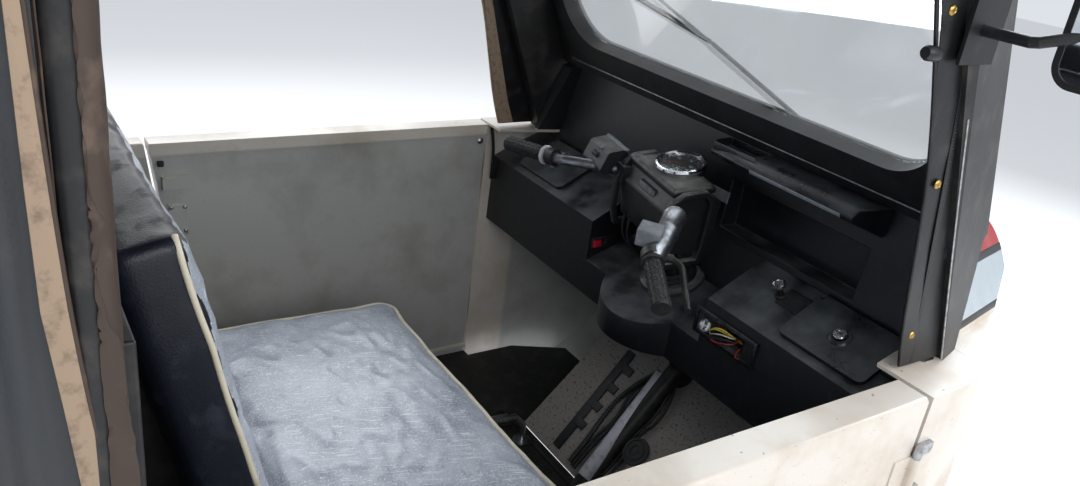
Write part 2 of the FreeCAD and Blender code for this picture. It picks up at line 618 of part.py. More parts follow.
# Hinge pins with their knuckles stand on the cowl
pins = []
for z in HINGES:
    pin = rod(vec(hinge_x, hinge_y, z - knuckle - 20), vec(hinge_x, hinge_y, z + knuckle + 20), pin_radius)
    for low in (z - knuckle - 20, z + knuckle + 0.5):
        pin = pin.fuse(rod(vec(hinge_x, hinge_y, low), vec(hinge_x, hinge_y, low + 19.5),
                           size.hinge_radius))
        pin = pin.fuse(box(size.half_width + size.seat_gap, hinge_y - 34, low, hinge_x,
                           hinge_y - 1, low + 19.5))
    pins.append(pin)
pins += [pin.mirror(vec(0, 0, 0), X) for pin in pins]
solid("door_hinges", Part.makeCompound(pins))

# Tail: a flat panel with the engine hatch, closed by a louvred cover hinged along its top
tail = pad("rear_panel", "XZ", [
    ("-half_width", lower_z), ("half_width", lower_z), ("half_width", "belt_z"), ("-half_width", "belt_z"),
], "tail_wall", "-tail_y")
more(tail, "XZ", [
    ("-hatch_half", "hatch_base_z"), ("hatch_half", "hatch_base_z"), ("hatch_half", "hatch_top_z"),
    ("-hatch_half", "hatch_top_z"),
], "tail_wall * 3", "-tail_y", middle=True, kind="Pocket")
soften(tail, Y, "40", lambda b: abs(b.XMin) > size.half_width - 1)
plate_x = 75
for x, z in ((-plate_x, 905), (plate_x, 905)):
    round_hole(tail, "XZ", (x, z), "3.5", "tail_wall * 3", "-tail_y")
keep("rear_panel", tail)
cover_y, cover_wall = size.tail_y - 4, 12
lid_half, lid_base = size.hatch_half - size.hatch_gap, size.hatch_base_z + size.hatch_gap
lid_top = size.hatch_top_z - size.hatch_gap
cover = box(-lid_half, cover_y - cover_wall, lid_base, lid_half, cover_y, lid_top)
louvre_long, louvre_pitch, hood = 290, 42, 15
for x in (-lid_half + 45, lid_half - 45 - louvre_long):
    for step in range(6):
        z = lid_base + 50 + step * louvre_pitch
        cover = cover.cut(box(x + 6, cover_y - cover_wall - 1, z, x + louvre_long - 6, cover_y + 1, z + 16))
        cover = cover.fuse(side_prism([(cover_y - 2, z + 18), (cover_y, z + 21), (cover_y + hood, z + 5),
                                       (cover_y + hood, z + 2), (cover_y + hood - 3, z + 2),
                                       (cover_y - 2, z + 15)], x, x + louvre_long))
cover_pin = vec(0, size.tail_y + 8, size.hatch_top_z + 2)
for x in (-250, 170):
    cover = cover.fuse(rod(cover_pin + X * x, cover_pin + X * (x + 80), size.hinge_radius))
    cover = cover.fuse(box(x, cover_y - 4, lid_top - 30, x + 80, cover_y + 4, lid_top))
    cover = cover.fuse(side_prism([(cover_y, lid_top - 4), (cover_y + 4, lid_top - 4),
                                   (cover_pin.y + 6, cover_pin.z), (cover_pin.y - 6, cover_pin.z)],
                                  x, x + 80))
    cover = cover.cut(rod(cover_pin + X * (x - 30), cover_pin + X * (x + 110),
                          pin_radius + size.running_gap))
solid("engine_cover", cover)
lugs = []
for x in (-250, 170):
    lug = rod(cover_pin + X * (x - 12), cover_pin + X * (x + 92), pin_radius)
    for end in (x - 12, x + 80.5):
        lug = lug.fuse(rod(cover_pin + X * end, cover_pin + X * (end + 11.5), size.hinge_radius))
        lug = lug.fuse(box(end, size.tail_y + size.seat_gap, cover_pin.z, end + 11.5,
                           cover_pin.y, cover_pin.z + 26))
    lugs.append(lug)
solid("cover_hinges", Part.makeCompound(lugs))

# Roof: tubular hoops and rails that carry a sewn cover with a rear window
tube = size.tube_radius
post_low = size.belt_z + size.seat_gap
hoop_back_y = size.tail_y - size.roof_wall - tube - 2
bow_rise, shoulder_z = 1752, 1704


def hoops(radius):
    """The front and the rear hoop, drawn with the given tube radius."""
    return [pipe([vec(size.post_x - 1, y, post_low), vec(size.post_x - 1, y, shoulder_z),
                  vec(0, y, bow_rise), vec(1 - size.post_x, y, shoulder_z),
                  vec(1 - size.post_x, y, post_low)], radius, 95)
            for y in (size.post_y, hoop_back_y)]


solid("roof_frame", Part.makeCompound(hoops(tube)))
rail_up, tubes = 1703, []
for x in (-545, 545):
    tubes.append(rod(vec(x, -569, rail_up), vec(x, hoop_back_y, rail_up + 8), 11))
for y in (-160, 830):
    tubes.append(pipe([vec(-545, y, rail_up + 4), vec(0, y, bow_rise - 2), vec(545, y, rail_up + 4)], 11, 60))
rails = tubes[0].multiFuse(tubes[1:])
for hoop in hoops(tube + size.seat_gap):
    rails = rails.cut(hoop)
solid("roof_rails", Part.makeCompound([part for part in rails.Solids if part.Volume > 1e5]))


def roof_block(inset, front, rear):
    """The roof's arched section down to the belt, from front to rear."""
    wide, top = size.roof_half - inset, size.roof_z - inset
    turn_x, turn_z, turn_r = size.roof_half - 100, size.valance_z + 55, 100 - inset
    knee = turn_r * math.sqrt(0.5)
    edges = [line((wide, front, post_low), (wide, front, turn_z)),
             arc((wide, front, turn_z), (turn_x + knee, front, turn_z + knee),
                 (turn_x, front, turn_z + turn_r)),
             arc((turn_x, front, turn_z + turn_r), (0, front, top), (-turn_x, front, turn_z + turn_r)),
             arc((-turn_x, front, turn_z + turn_r), (-turn_x - knee, front, turn_z + knee),
                 (-wide, front, turn_z)),
             line((-wide, front, turn_z), (-wide, front, post_low)),
             line((-wide, front, post_low), (wide, front, post_low))]
    return Part.Face(Part.Wire(edges)).extrude(vec(0, rear - front, 0))


canopy = roof_block(0, size.roof_front_y, size.tail_y)
canopy = canopy.cut(roof_block(size.roof_wall, size.roof_front_y - 1, size.tail_y - size.roof_wall))
canopy = canopy.cut(box(-700, size.roof_front_y - 1, size.belt_z - 1, 700, size.entry_rear_y, size.valance_z))
canopy = canopy.cut(box(-360, size.entry_rear_y + 100, 1210, 360, size.tail_y + 1, 1450))
solid("roof_canopy", canopy)
solid("rear_window", box(-360 + size.seat_gap, size.tail_y - 6, 1210 + size.seat_gap,
                         360 - size.seat_gap, size.tail_y - 3, 1450 - size.seat_gap))

# Driver's place: partition, seat box, cushion and leaning backrest
wall = pad("partition", "XZ", [
    ("-half_width + side_wall + seat_gap", "floor_z + seat_gap"),
    ("half_width - side_wall - seat_gap", "floor_z + seat_gap"),
    ("half_width - side_wall - seat_gap", "belt_z"), ("half_width - side_wall - 8", "partition_top_z"),
    ("-half_width + side_wall + 8", "partition_top_z"), ("-half_width + side_wall + seat_gap", "belt_z"),
], "partition_wall", "-partition_y - partition_wall")
keep("partition", wall)
seat_box = pad("driver_seat_base", "YZ", [
    ("seat_front_y + 35", "floor_z + seat_gap"), ("seat_front_y + 35", "seat_top_z - seat_thick - seat_gap"),
    ("seat_back_y + 4", "seat_top_z - seat_thick - seat_gap"), ("seat_back_y + 4", "seat_top_z"),
    ("partition_y - seat_gap", "seat_top_z"), ("partition_y - seat_gap", "floor_z + seat_gap"),
], "seat_half * 2 - 46", middle=True)
keep("driver_seat_base", seat_box)
cushion = pad("driver_cushion", "YZ", [
    ("seat_front_y", "seat_top_z - seat_thick"), ("seat_front_y", "seat_top_z"),
    ("seat_back_y", "seat_top_z"), ("seat_back_y", "seat_top_z - seat_thick"),
], "seat_half * 2", middle=True)
soften(cushion, Z, "45", lambda b: b.YMax < size.seat_front_y + 1)
keep("driver_cushion", cushion)
back = pad("driver_backrest", "YZ", [
    ("seat_back_y - 14", "seat_top_z + seat_gap"), ("seat_back_y + 121", "1210"),
    ("seat_back_y + 208", "1189"), ("seat_back_y + 76", "seat_top_z + seat_gap"),
], "seat_half * 2 - 6", middle=True)
soften(back, X, "25", lambda b: b.ZMin > 1180)
keep("driver_backrest", back)

# Passengers' place: a deck over the rear wheels and the engine, a bench and its backrest
well_x, well_front_y, board = 478, 540, 8
deck = pad("passenger_seat_base", "XY", [
    (-622, well_front_y), (-well_x, well_front_y), (-well_x, "bench_front_y"), (well_x, "bench_front_y"),
    (well_x, well_front_y), (622, well_front_y), (622, "tail_y - 24"), (-622, "tail_y - 24"),
], "20", "bench_deck_z - 20")
keep("passenger_seat_base", deck)
more(deck, "XY", [
    (-well_x, "bench_front_y + 50"), (well_x, "bench_front_y + 50"), (well_x, "bench_front_y + 58"),
    (-well_x, "bench_front_y + 58"),
], "bench_deck_z - 10 - floor_z - seat_gap", "floor_z + seat_gap")
for side in (-1, 1):
    for x0, y0, x1, y1 in ((well_x - board, well_front_y, well_x, 698), (386 - board, 692, 386, 1366),
                           (well_x - board, well_front_y, 622, well_front_y + board)):
        a, b = sorted((side * x0, side * x1))
        more(deck, "XY", [(a, y0), (b, y0), (b, y1), (a, y1)],
             "bench_deck_z - 10 - floor_z - seat_gap", "floor_z + seat_gap")
bench = pad("passenger_cushion", "YZ", [
    ("bench_front_y", "bench_deck_z + seat_gap"), ("bench_front_y", "bench_top_z"),
    ("bench_front_y + 490", "bench_top_z"), ("bench_front_y + 490", "bench_deck_z + seat_gap"),
], "bench_half * 2", middle=True)
soften(bench, Z, "50", lambda b: b.YMax < size.bench_front_y + 1)
keep("passenger_cushion", bench)
rest = pad("passenger_backrest", "YZ", [
    ("bench_front_y + 470", "bench_top_z + seat_gap"), ("bench_front_y + 560", "1180"),
    ("bench_front_y + 640", "1180"), ("bench_front_y + 580", "bench_top_z + seat_gap"),
], "bench_half * 2", middle=True)
more(rest, "YZ", [
    ("bench_front_y + 491", "bench_deck_z + seat_gap"), ("bench_front_y + 491", "bench_top_z + 1"),
    ("bench_front_y + 578", "bench_top_z + 1"), ("bench_front_y + 578", "bench_deck_z + seat_gap"),
], "bench_half * 2 - 60", middle=True)
soften(rest, X, "25", lambda b: b.ZMin > 1170)
keep("passenger_backrest", rest)

# Tail lamps, mirrors on bent stalks and the driver's foot controls
lamp = box(545, size.tail_y + size.seat_gap, 620, 625, size.tail_y + 20, 770)
lamp = lamp.makeFillet(6, [e for e in lamp.Edges if e.BoundBox.YMin > size.tail_y + 19])
solid("tail_lamps", Part.makeCompound([lamp, lamp.mirror(vec(0, 0, 0), X)]))
mirror_wide, mirror_high, mirror_deep = 138, 200, 22
stalk_z = size.mirror_z - 57
case = box(size.mirror_x - mirror_wide / 2, size.mirror_y - mirror_deep, size.mirror_z - mirror_high / 2,
           size.mirror_x + mirror_wide / 2, size.mirror_y, size.mirror_z + mirror_high / 2)
case = case.makeFillet(28, [e for e in case.Edges if abs(e.Vertexes[0].Y - e.Vertexes[-1].Y) > 1])
case = case.makeChamfer(6, [e for e in case.Edges if e.BoundBox.YMax < size.mirror_y - mirror_deep + 1])
pocket_low = 8
glass_face = box(size.mirror_x - mirror_wide / 2 + pocket_low, size.mirror_y - 4,
                 size.mirror_z - mirror_high / 2 + pocket_low, size.mirror_x + mirror_wide / 2 - pocket_low,
                 size.mirror_y + 1, size.mirror_z + mirror_high / 2 - pocket_low)
glass_face = glass_face.makeFillet(20, [e for e in glass_face.Edges
                                        if abs(e.Vertexes[0].Y - e.Vertexes[-1].Y) > 1])
case = case.cut(glass_face)
shiny = glass_face.common(box(600, size.mirror_y - 5, 1300, 900, size.mirror_y - 1, 1700))
stalk = pipe([vec(pillar_out + size.seat_gap, -690, stalk_z), vec(682, -690, stalk_z),
              vec(size.mirror_x - 35, size.mirror_y - 10, stalk_z + 22)], 7, 22)
foot_plate = box(pillar_out + size.seat_gap, -730, stalk_z - 42, pillar_out + 5, -660, stalk_z + 42)
holder = case.fuse([stalk.cut(glass_face), foot_plate])
solid("mirrors", Part.makeCompound([holder, holder.mirror(vec(0, 0, 0), X)]))
solid("mirror_glasses", Part.makeCompound([shiny, shiny.mirror(vec(0, 0, 0), X)]))

toe_up = vec(0, -math.sqrt(0.5), math.sqrt(0.5))
toe_out = vec(0, math.sqrt(0.5), math.sqrt(0.5))
pedal_foot = vec(-91, size.toe_sum - 372, 372) + toe_out * size.seat_gap
pedal = rod(pedal_foot, pedal_foot + toe_out * 4, 16)
pedal = pedal.fuse(rod(pedal_foot, pedal_foot + toe_out * 62, 6))
pedal_pad = rod(pedal_foot + toe_out * 54 + toe_up * 18, pedal_foot + toe_out * 64 + toe_up * 18, 30)
pedal = pedal.fuse(pedal_pad)
lever_foot = vec(200, -690, size.floor_z + size.seat_gap)
lever = pipe([lever_foot, lever_foot + Z * 78, vec(200, -560, 372)], 7, 30)
lever = lever.fuse([rod(vec(200, -640, 366), vec(200, -520, 374), 12), rod(lever_foot, lever_foot + Z * 6, 22)])
solid("foot_controls", Part.makeCompound([pedal, lever]))

# Engine: one plain block on two cross members, with its silencer beside it
engine_front, engine_rear = 905, 1245
block = box(-200, engine_front, rail_top + size.seat_gap, 120, engine_rear, 500)
block = block.makeChamfer(20, [e for e in block.Edges if e.BoundBox.ZMin > 499])
silencer = rod(vec(-120, 1300, 335), vec(190, 1300, 335), 52)
exhaust = pipe([vec(90, 1190, 335), vec(158, 1190, 335), vec(158, 1290, 335)], 18, 30)
solid("engine", block.fuse([silencer, exhaust]))

# Rear suspension: trailing arms on pivots by the rails, drums, stub axles and dampers
rear_axle = vec(0, rear_axle_y, size.tyre_radius)
arm_pivot = vec(0, 502, rail_base + 30)
rail_out = size.rail_x + size.rail_width / 2
pivot = rod(arm_pivot + X * (rail_out + size.seat_gap), arm_pivot + X * 452, 17)
arm = Part.makePolygon([vec(400, arm_pivot.y - 22, arm_pivot.z - 22), vec(400, rear_axle_y, 200),
                        vec(400, rear_axle_y, 270), vec(400, arm_pivot.y - 22, arm_pivot.z + 22),
                        vec(400, arm_pivot.y - 22, arm_pivot.z - 22)])
arm = Part.Face(arm).extrude(vec(36, 0, 0))
drum = rod(rear_axle + X * 440, rear_axle + X * 500, 88)
stub = rod(rear_axle + X * 402, rear_axle + X * (size.rear_wheel_x + size.hub_half + 10), size.axle_radius)
nut_start = rear_axle + X * (size.rear_wheel_x + size.hub_half + 1)
corners = [nut_start + vec(0, 19 * math.cos(math.radians(turn)), 19 * math.sin(math.radians(turn)))
           for turn in range(0, 361, 60)]
nut = Part.Face(Part.makePolygon(corners)).extrude(X * 12)
damper_top = vec(418, rear_axle_y - 20, size.bench_deck_z - 20 - size.seat_gap)
damper = rod(vec(418, rear_axle_y - 60, 255), damper_top - Z * 12, 21)
damper = damper.cut(box(380, 600, damper_top.z, 460, 1000, 700)).fuse(rod(damper_top - Z * 20, damper_top, 30))
corner = pivot.fuse([arm, drum, stub, nut, damper])
solid("rear_suspension", Part.makeCompound([corner, corner.mirror(vec(0, 0, 0), X)]))

# Wheels: a rounded tyre on a dished rim with five openings and a bored hub
def turned_ring(points):
    """A ring about the X axis from an outline of (x, radius) corners."""
    wire = Part.makePolygon([vec(x, 0, r) for x, r in points + [points[0]]])
    return Part.Face(wire).revolve(vec(0, 0, 0), X, 360)


half, rim_r, out_r = size.tyre_width / 2, size.rim_radius, size.tyre_radius
bead, lip_r = 37, rim_r + 6
section = [(-bead, rim_r), (-half, rim_r + 52), (-34, out_r), (34, out_r), (half, rim_r + 52), (bead, rim_r)]
tyre = turned_ring(section)
bore, hub_r, hub = size.axle_radius + size.running_gap, 32, size.hub_half
rim = turned_ring([(-hub, bore), (-hub, hub_r), (14, hub_r), (14, rim_r - 12), (-44, rim_r - 12),
                   (-44, lip_r), (-bead - 0.5, rim_r - 0.5), (bead + 0.5, rim_r - 0.5), (44, lip_r),
                   (44, rim_r - 12), (21, rim_r - 12), (21, hub_r), (hub, hub_r), (hub, bore)])
for step in range(5):
    window = Part.Face(Part.makePolygon([vec(10, x, z) for x, z in (
        (-13, 60), (13, 60), (21, 95), (-21, 95), (-13, 60))])).extrude(X * 16)
    rim = rim.cut(window.rotated(vec(0, 0, 0), X, 72 * step))
front_centre = turned.multVec(axle)
front_place = FreeCAD.Placement(front_centre, turned.Rotation)
for label, shape in (("tyre", tyre), ("rim", rim)):
    solid("front_" + label, shape.copy(), front_place)
    rear = rear_axle + X * size.rear_wheel_x
    solid("rear_%s_left" % label, shape.copy(), FreeCAD.Placement(rear, FreeCAD.Rotation()))
    rear = rear_axle - X * size.rear_wheel_x
    solid("rear_%s_right" % label, shape.mirror(vec(0, 0, 0), X), FreeCAD.Placement(rear, FreeCAD.Rotation()))

# Steering: stem, crown and two legs that carry the axle, all turned to the parked angle
crown_rise, crown_half = 270, 11
stem_top = (size.bar_z - foot.z) / math.cos(tilt)
fork = rod(on_axis(crown_rise), on_axis(stem_top + 12), size.stem_radius)
face = Part.Face(Part.Wire([
    line((-size.leg_x, -26, 0), (0, -30, 0)), line((0, -30, 0), (size.leg_x, -26, 0)),
    arc((size.leg_x, -26, 0), (size.leg_x + 26, 0, 0), (size.leg_x, 26, 0)),
    line((size.leg_x, 26, 0), (0, 30, 0)), line((0, 30, 0), (-size.leg_x, 26, 0)),
    arc((-size.leg_x, 26, 0), (-size.leg_x - 26, 0, 0), (-size.leg_x, -26, 0))]))
crown = face.extrude(vec(0, 0, crown_half * 2))
crown.Placement = FreeCAD.Placement(on_axis(crown_rise - crown_half),
                                    FreeCAD.Rotation(X, rear_axis, up_axis, "XYZ"))
fork = fork.fuse(crown)
leg_foot = 18
for side in (-1, 1):
    low = on_axis(leg_foot) + X * side * size.leg_x
    fork = fork.fuse(rod(low, on_axis(crown_rise + crown_half) + X * side * size.leg_x, size.leg_radius))
    tip = axle + X * side * (size.leg_x - 8)
    lug = rod(tip, tip + X * side * 16, 22)
    heel = on_axis(leg_foot + 14) + X * side * (size.leg_x - 8)
    web = Part.Face(Part.makePolygon([
        tip + rear_axis * 4 + up_axis * 20, heel + up_axis * 22 - rear_axis * 6,
        heel - up_axis * 30 + rear_axis * 4, tip - up_axis * 20, tip + rear_axis * 4 + up_axis * 20]))
    fork = fork.fuse([lug, web.extrude(X * side * 16)])
fork = fork.fuse(rod(axle - X * (size.leg_x + 6), axle + X * (size.leg_x + 6), size.axle_radius))
solid("steering_fork", fork, turned)

# Front mudguard over the wheel, hung on the legs by two brackets
guard_in = size.tyre_radius + size.fender_gap
guard = turned_ring([(-size.fender_half, guard_in), (-size.fender_half, guard_in + 3),
                     (size.fender_half, guard_in + 3), (size.fender_half, guard_in)])
for side in (-1, 1):
    skirt = [(side * size.fender_half, guard_in + 3), (side * size.fender_half, guard_in - 34),
             (side * (size.fender_half - 3), guard_in - 34), (side * (size.fender_half - 3), guard_in + 3)]
    guard = guard.fuse(turned_ring(skirt))
wedge = side_prism([(0, 0), (-420, -60), (-420, 420), (420, 420), (420, 60)], -90, 90)
guard = guard.common(wedge)
guard.Placement = FreeCAD.Placement(axle, FreeCAD.Rotation())
guard = guard.cut(rod(on_axis(crown_rise - crown_half - 1), on_axis(crown_rise + 60), 34))
leg_inner = size.leg_x - size.leg_radius - size.seat_gap
for side in (-1, 1):
    hanger = on_axis(214) + X * side * (size.fender_half - 3)
    guard = guard.fuse(rod(hanger, on_axis(214) + X * side * leg_inner, 11))
solid("front_fender", guard, turned)

# Handlebar with its housing, speedometer, grips and hand levers
bar_mid = on_axis(stem_top)


def at_bar(x, back, z):
    """A point beside the handlebar clamp: x across, back from the axis, at height z."""
    return vec(x, bar_mid.y + back, z)


grip_in = at_bar(size.grip_in_x, 158, 984)
grip_out = at_bar(size.grip_out_x, 201, 965)
along = (grip_out - grip_in).normalize()
bar_path = [grip_out - along * 4, grip_in - along * 40, at_bar(96, 30, bar_mid.z + 22)]
bar_path += [vec(-p.x, p.y, p.z) for p in reversed(bar_path)]
bar = pipe(bar_path, size.bar_radius, 34)
clamp = rod(bar_mid - up_axis * 26, bar_mid + up_axis * 30, 30).cut(
    rod(bar_mid - up_axis * 40, bar_mid + up_axis * 12.3, size.stem_radius + size.seat_gap))
solid("handlebar", bar.fuse([clamp, box(-30, bar_mid.y, bar_mid.z + 8, 30, bar_mid.y + 46, bar_mid.z + 34)])
      .cut(rod(bar_mid - up_axis * 60, bar_mid + up_axis * 12.3, size.stem_radius + size.seat_gap)), turned)
grips = []
for side in (1, -1):
    a, b = (vec(side * p.x, p.y, p.z) for p in (grip_in, grip_out))
    grip = rod(a, b, size.grip_radius)
    grip = grip.fuse(rod(a, a + (b - a).normalize() * 6, size.grip_radius + 5))
    core = rod(a + (a - b), b - (b - a).normalize() * 3.7, size.bar_radius + size.seat_gap)
    grips.append(grip.cut(core))
solid("grips", Part.makeCompound(grips), turned)

pod_top, pod_low, pod_half = 1048, 905, 92
pod = side_prism([(bar_mid.y - 62, pod_low + 20), (bar_mid.y - 70, pod_top - 26),
                  (bar_mid.y - 30, pod_top), (bar_mid.y + 28, pod_top - 8), (bar_mid.y + 52, pod_top - 52),
                  (bar_mid.y + 34, pod_low)], -pod_half, pod_half)
pod = pod.makeFillet(16, [e for e in pod.Edges if abs(e.Vertexes[0].X - e.Vertexes[-1].X) > 1])
wing = side_prism([(bar_mid.y - 4, 1000), (bar_mid.y + 8, 1052), (bar_mid.y + 50, 1044),
                   (bar_mid.y + 68, 996)], 112, 196)
wing = wing.makeFillet(9, [e for e in wing.Edges if abs(e.Vertexes[0].X - e.Vertexes[-1].X) > 1])
wing.translate(vec(0, 30, -4))
inside = rod(bar_mid - up_axis * 200, bar_mid + up_axis * 30.5, 31)
solid_bar = pipe(bar_path, size.bar_radius + size.seat_gap, 34)
clear_box = box(-31, bar_mid.y - 1, bar_mid.z + 7, 31, bar_mid.y + 47, bar_mid.z + 35)
housing = pod.fuse(wing.fuse(box(80, bar_mid.y + 10, 985, 130, bar_mid.y + 58, 1022)))
solid("bar_housing", housing.cut(inside).cut(solid_bar).cut(clear_box), turned)

dial = vec(0, bar_mid.y - 22, pod_top + 7)
dial_way = vec(0, 0.20, 0.98).normalize()
gauge = rod(dial - dial_way * 5, dial + dial_way * 12, 50)
gauge = gauge.cut(rod(dial + dial_way * 8, dial + dial_way * 13, 45))
gauge = gauge.cut(pod)
solid("speedometer", gauge.Solids[0] if gauge.Solids else gauge, turned)
levers = []
for side in (1, -1):
    tip = at_bar(side * 352, 148, 955)
    perch = at_bar(side * 226, 112, 982)
    piece = pipe([perch, at_bar(side * 250, 104, 978), tip], 6, 14)
    ring_start = grip_in - along * 26
    ring_start = vec(side * ring_start.x, ring_start.y, ring_start.z)
    ring_way = vec(side * along.x, along.y, along.z)
    band = rod(ring_start, ring_start + ring_way * 18, 19)
    arm_piece = rod(ring_start + ring_way * 9, perch, 8)
    piece = piece.fuse([band, arm_piece]).cut(rod(ring_start - ring_way * 30, ring_start + ring_way * 40,
                                                  size.bar_radius + size.seat_gap))
    levers.append(piece)
solid("control_levers", Part.makeCompound(levers), turned)

# Every object must be settled and every shape sound before anything is written out
doc.recompute()
for obj in doc.Objects:
    if obj.State not in ([], ["Up-to-date"]):
        raise RuntimeError("%s is %s" % (obj.Label, obj.State))
for label, obj in nodes.items():
    if not obj.Shape.isValid() or obj.Shape.Volume <= 0:
        raise RuntimeError("%s has an unsound shape" % label)
    obj.Shape.exportStep("parts/%s.step" % label)
    print("%-24s %9.1f cm3" % (label, obj.Shape.Volume / 1000))
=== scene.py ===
# %% [markdown]
# # An auto rickshaw seen from behind its driver's seat
# The solids come from the CAD frame and never move. This lesson dresses them: it
# gives every surface a finish, and adds the small pieces that a CAD solid leaves out.

# %% Load the frame
import math
import bpy
import bmesh
from mathutils import Matrix, Vector, noise
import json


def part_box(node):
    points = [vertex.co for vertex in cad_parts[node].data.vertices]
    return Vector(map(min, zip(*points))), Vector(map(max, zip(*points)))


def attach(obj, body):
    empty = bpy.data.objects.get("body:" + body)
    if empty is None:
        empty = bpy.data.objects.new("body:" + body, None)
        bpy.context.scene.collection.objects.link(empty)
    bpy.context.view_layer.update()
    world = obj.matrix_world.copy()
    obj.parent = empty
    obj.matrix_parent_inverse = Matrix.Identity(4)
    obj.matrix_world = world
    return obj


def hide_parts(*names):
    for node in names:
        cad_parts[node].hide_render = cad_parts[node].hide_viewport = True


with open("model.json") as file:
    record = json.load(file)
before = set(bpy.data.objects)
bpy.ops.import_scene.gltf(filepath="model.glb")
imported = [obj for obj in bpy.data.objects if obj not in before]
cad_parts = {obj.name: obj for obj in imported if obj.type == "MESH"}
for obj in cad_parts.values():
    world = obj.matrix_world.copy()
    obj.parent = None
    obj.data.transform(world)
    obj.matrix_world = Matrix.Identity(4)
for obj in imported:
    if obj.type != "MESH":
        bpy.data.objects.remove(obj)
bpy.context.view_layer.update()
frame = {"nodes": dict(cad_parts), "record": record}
nodes = frame["nodes"]
scene = bpy.context.scene
SIDES = (("right", -1), ("left", 1))
UP = Vector((0, 0, 1))

# %% [markdown]
# The camera stands outside the near side, level with the seat back, and looks
# forward and down into the cab. Its three axes are written out, because a tilted
# hand-held view is easier to keep as axes than as angles.

# %% Camera
eye = Vector((-1.230, 0.3605, 1.595))
eye_right = Vector((-0.5330, -0.8369, 0.1246)).normalized()
eye_back = Vector((-0.7436, 0.5335, 0.4031)).normalized()
eye_up = eye_back.cross(eye_right).normalized()
camera_data = bpy.data.cameras.new("view")
camera_data.lens, camera_data.sensor_width, camera_data.sensor_fit = 29.53, 36, "HORIZONTAL"
camera_data.clip_start = 0.02
camera = bpy.data.objects.new("view", camera_data)
scene.collection.objects.link(camera)
camera.matrix_world = Matrix((eye_right, eye_up, eye_back)).transposed().to_4x4()
camera.location = eye
scene.camera = camera
print("camera at", tuple(round(v, 3) for v in camera.location))

# %% [markdown]
# A pale floor and a pale world give soft, even light. Four large lamps stand in for
# the open sky round the cab, and a smaller one lights the dashboard from the near side.

# %% Floor, lamps and world
scene.view_settings.view_transform = "Standard"
bpy.ops.object.select_all(action="DESELECT")
bpy.ops.mesh.primitive_plane_add(size=30, location=(0, 0, 0))
floor = bpy.context.object
floor.name = "studio_floor"


def lamp(name, place, target, size, watts, tint=(1, 1, 1)):
    """A soft rectangular lamp at place that shines at target."""
    data = bpy.data.lights.new(name, "AREA")
    data.shape, data.size, data.energy, data.color = "SQUARE", size, watts, tint
    obj = bpy.data.objects.new(name, data)
    scene.collection.objects.link(obj)
    way = (Vector(target) - Vector(place)).normalized()
    obj.rotation_euler = way.to_track_quat("-Z", "Y").to_euler()
    obj.location = place


lamp("near_sky", (-3.6, 0.6, 3.2), (0, -0.5, 0.8), 3.0, 80)
lamp("front_sky", (0.6, -4.2, 3.0), (0, -0.6, 0.9), 3.0, 150, (0.93, 0.97, 1.0))
lamp("far_sky", (3.6, -0.6, 3.0), (0, 0, 0.8), 3.0, 70)
lamp("rear_sky", (0.5, 4.4, 2.8), (0, 0.6, 0.8), 3.0, 60)
lamp("door_light", (-2.5, -1.5, 2.35), (-0.1, -0.85, 0.85), 0.9, 22, (1.0, 0.97, 0.92))
world = bpy.data.worlds.new("pale_sky")
scene.world = world
world.use_nodes = True
sky = world.node_tree.nodes["Background"]
sky.inputs["Color"].default_value = (0.86, 0.90, 0.96, 1)
sky.inputs["Strength"].default_value = 0.85

# %% [markdown]
# Every finish below is a node network. One helper adds a node, sets its values and
# links what comes into it; another turns a written colour into linear light.

# %% Helpers for finishes
MM = 1000.0  # one over a millimetre, in metres


def colour(code):
    """An sRGB hex colour as linear RGBA."""
    parts = [int(code[i:i + 2], 16) / 255 for i in (1, 3, 5)]
    return tuple(p / 12.92 if p <= 0.04045 else ((p + 0.055) / 1.055) ** 2.4 for p in parts) + (1,)


def add(mat, kind, links=None, **settings):
    """A node of that kind; links maps a socket to a value or to another node's output."""
    new = mat.node_tree.nodes.new(kind)
    for key, value in settings.items():
        setattr(new, key, value)
    for key, value in (links or {}).items():
        socket = new.inputs[key]
        if isinstance(value, bpy.types.NodeSocket):
            mat.node_tree.links.new(value, socket)
        else:
            socket.default_value = value
    return new


def finish_named(name, **constants):
    """An empty finish, its shader with these constants set, and the place in metres."""
    mat = bpy.data.materials.new(name)
    mat.use_nodes = True
    shader = mat.node_tree.nodes["Principled BSDF"]
    for key, value in constants.items():
        shader.inputs[key.replace("_", " ")].default_value = value
    return mat, shader, add(mat, "ShaderNodeTexCoord").outputs["Object"]


def join(mat, source, shader, socket):
    mat.node_tree.links.new(source, shader.inputs[socket])


def maths(mat, operation, *values):
    return add(mat, "ShaderNodeMath", dict(enumerate(values)), operation=operation).outputs[0]


def ramp(mat, value, low, high, to_low=0.0, to_high=1.0):
    """The value, brought from low-high to to_low-to_high and held at both ends."""
    return add(mat, "ShaderNodeMapRange", {"Value": value, "From Min": low, "From Max": high,
                                           "To Min": to_low, "To Max": to_high}).outputs[0]


def cloud(mat, place, size_mm, detail=2.0, **more):
    """A noise about size_mm across."""
    return add(mat, "ShaderNodeTexNoise", {"Vector": place, "Scale": MM / size_mm, "Detail": detail,
                                           **more}).outputs["Fac"]


def patches(mat, place, size_mm, low, high, detail=4):
    """A soft 0-1 mask of blotches about size_mm across, between the two thresholds."""
    return ramp(mat, cloud(mat, place, size_mm, detail, Roughness=0.6), low, high)


def mix(mat, mask, under, over):
    """The colour under where the mask is 0 and over where it is 1."""
    return add(mat, "ShaderNodeMix", {0: mask, 6: under, 7: over}, data_type="RGBA").outputs[2]


def bumped(mat, shader, height, distance, strength=0.5):
    bump = add(mat, "ShaderNodeBump", {"Height": height, "Distance": distance, "Strength": strength})
    join(mat, bump.outputs["Normal"], shader, "Normal")


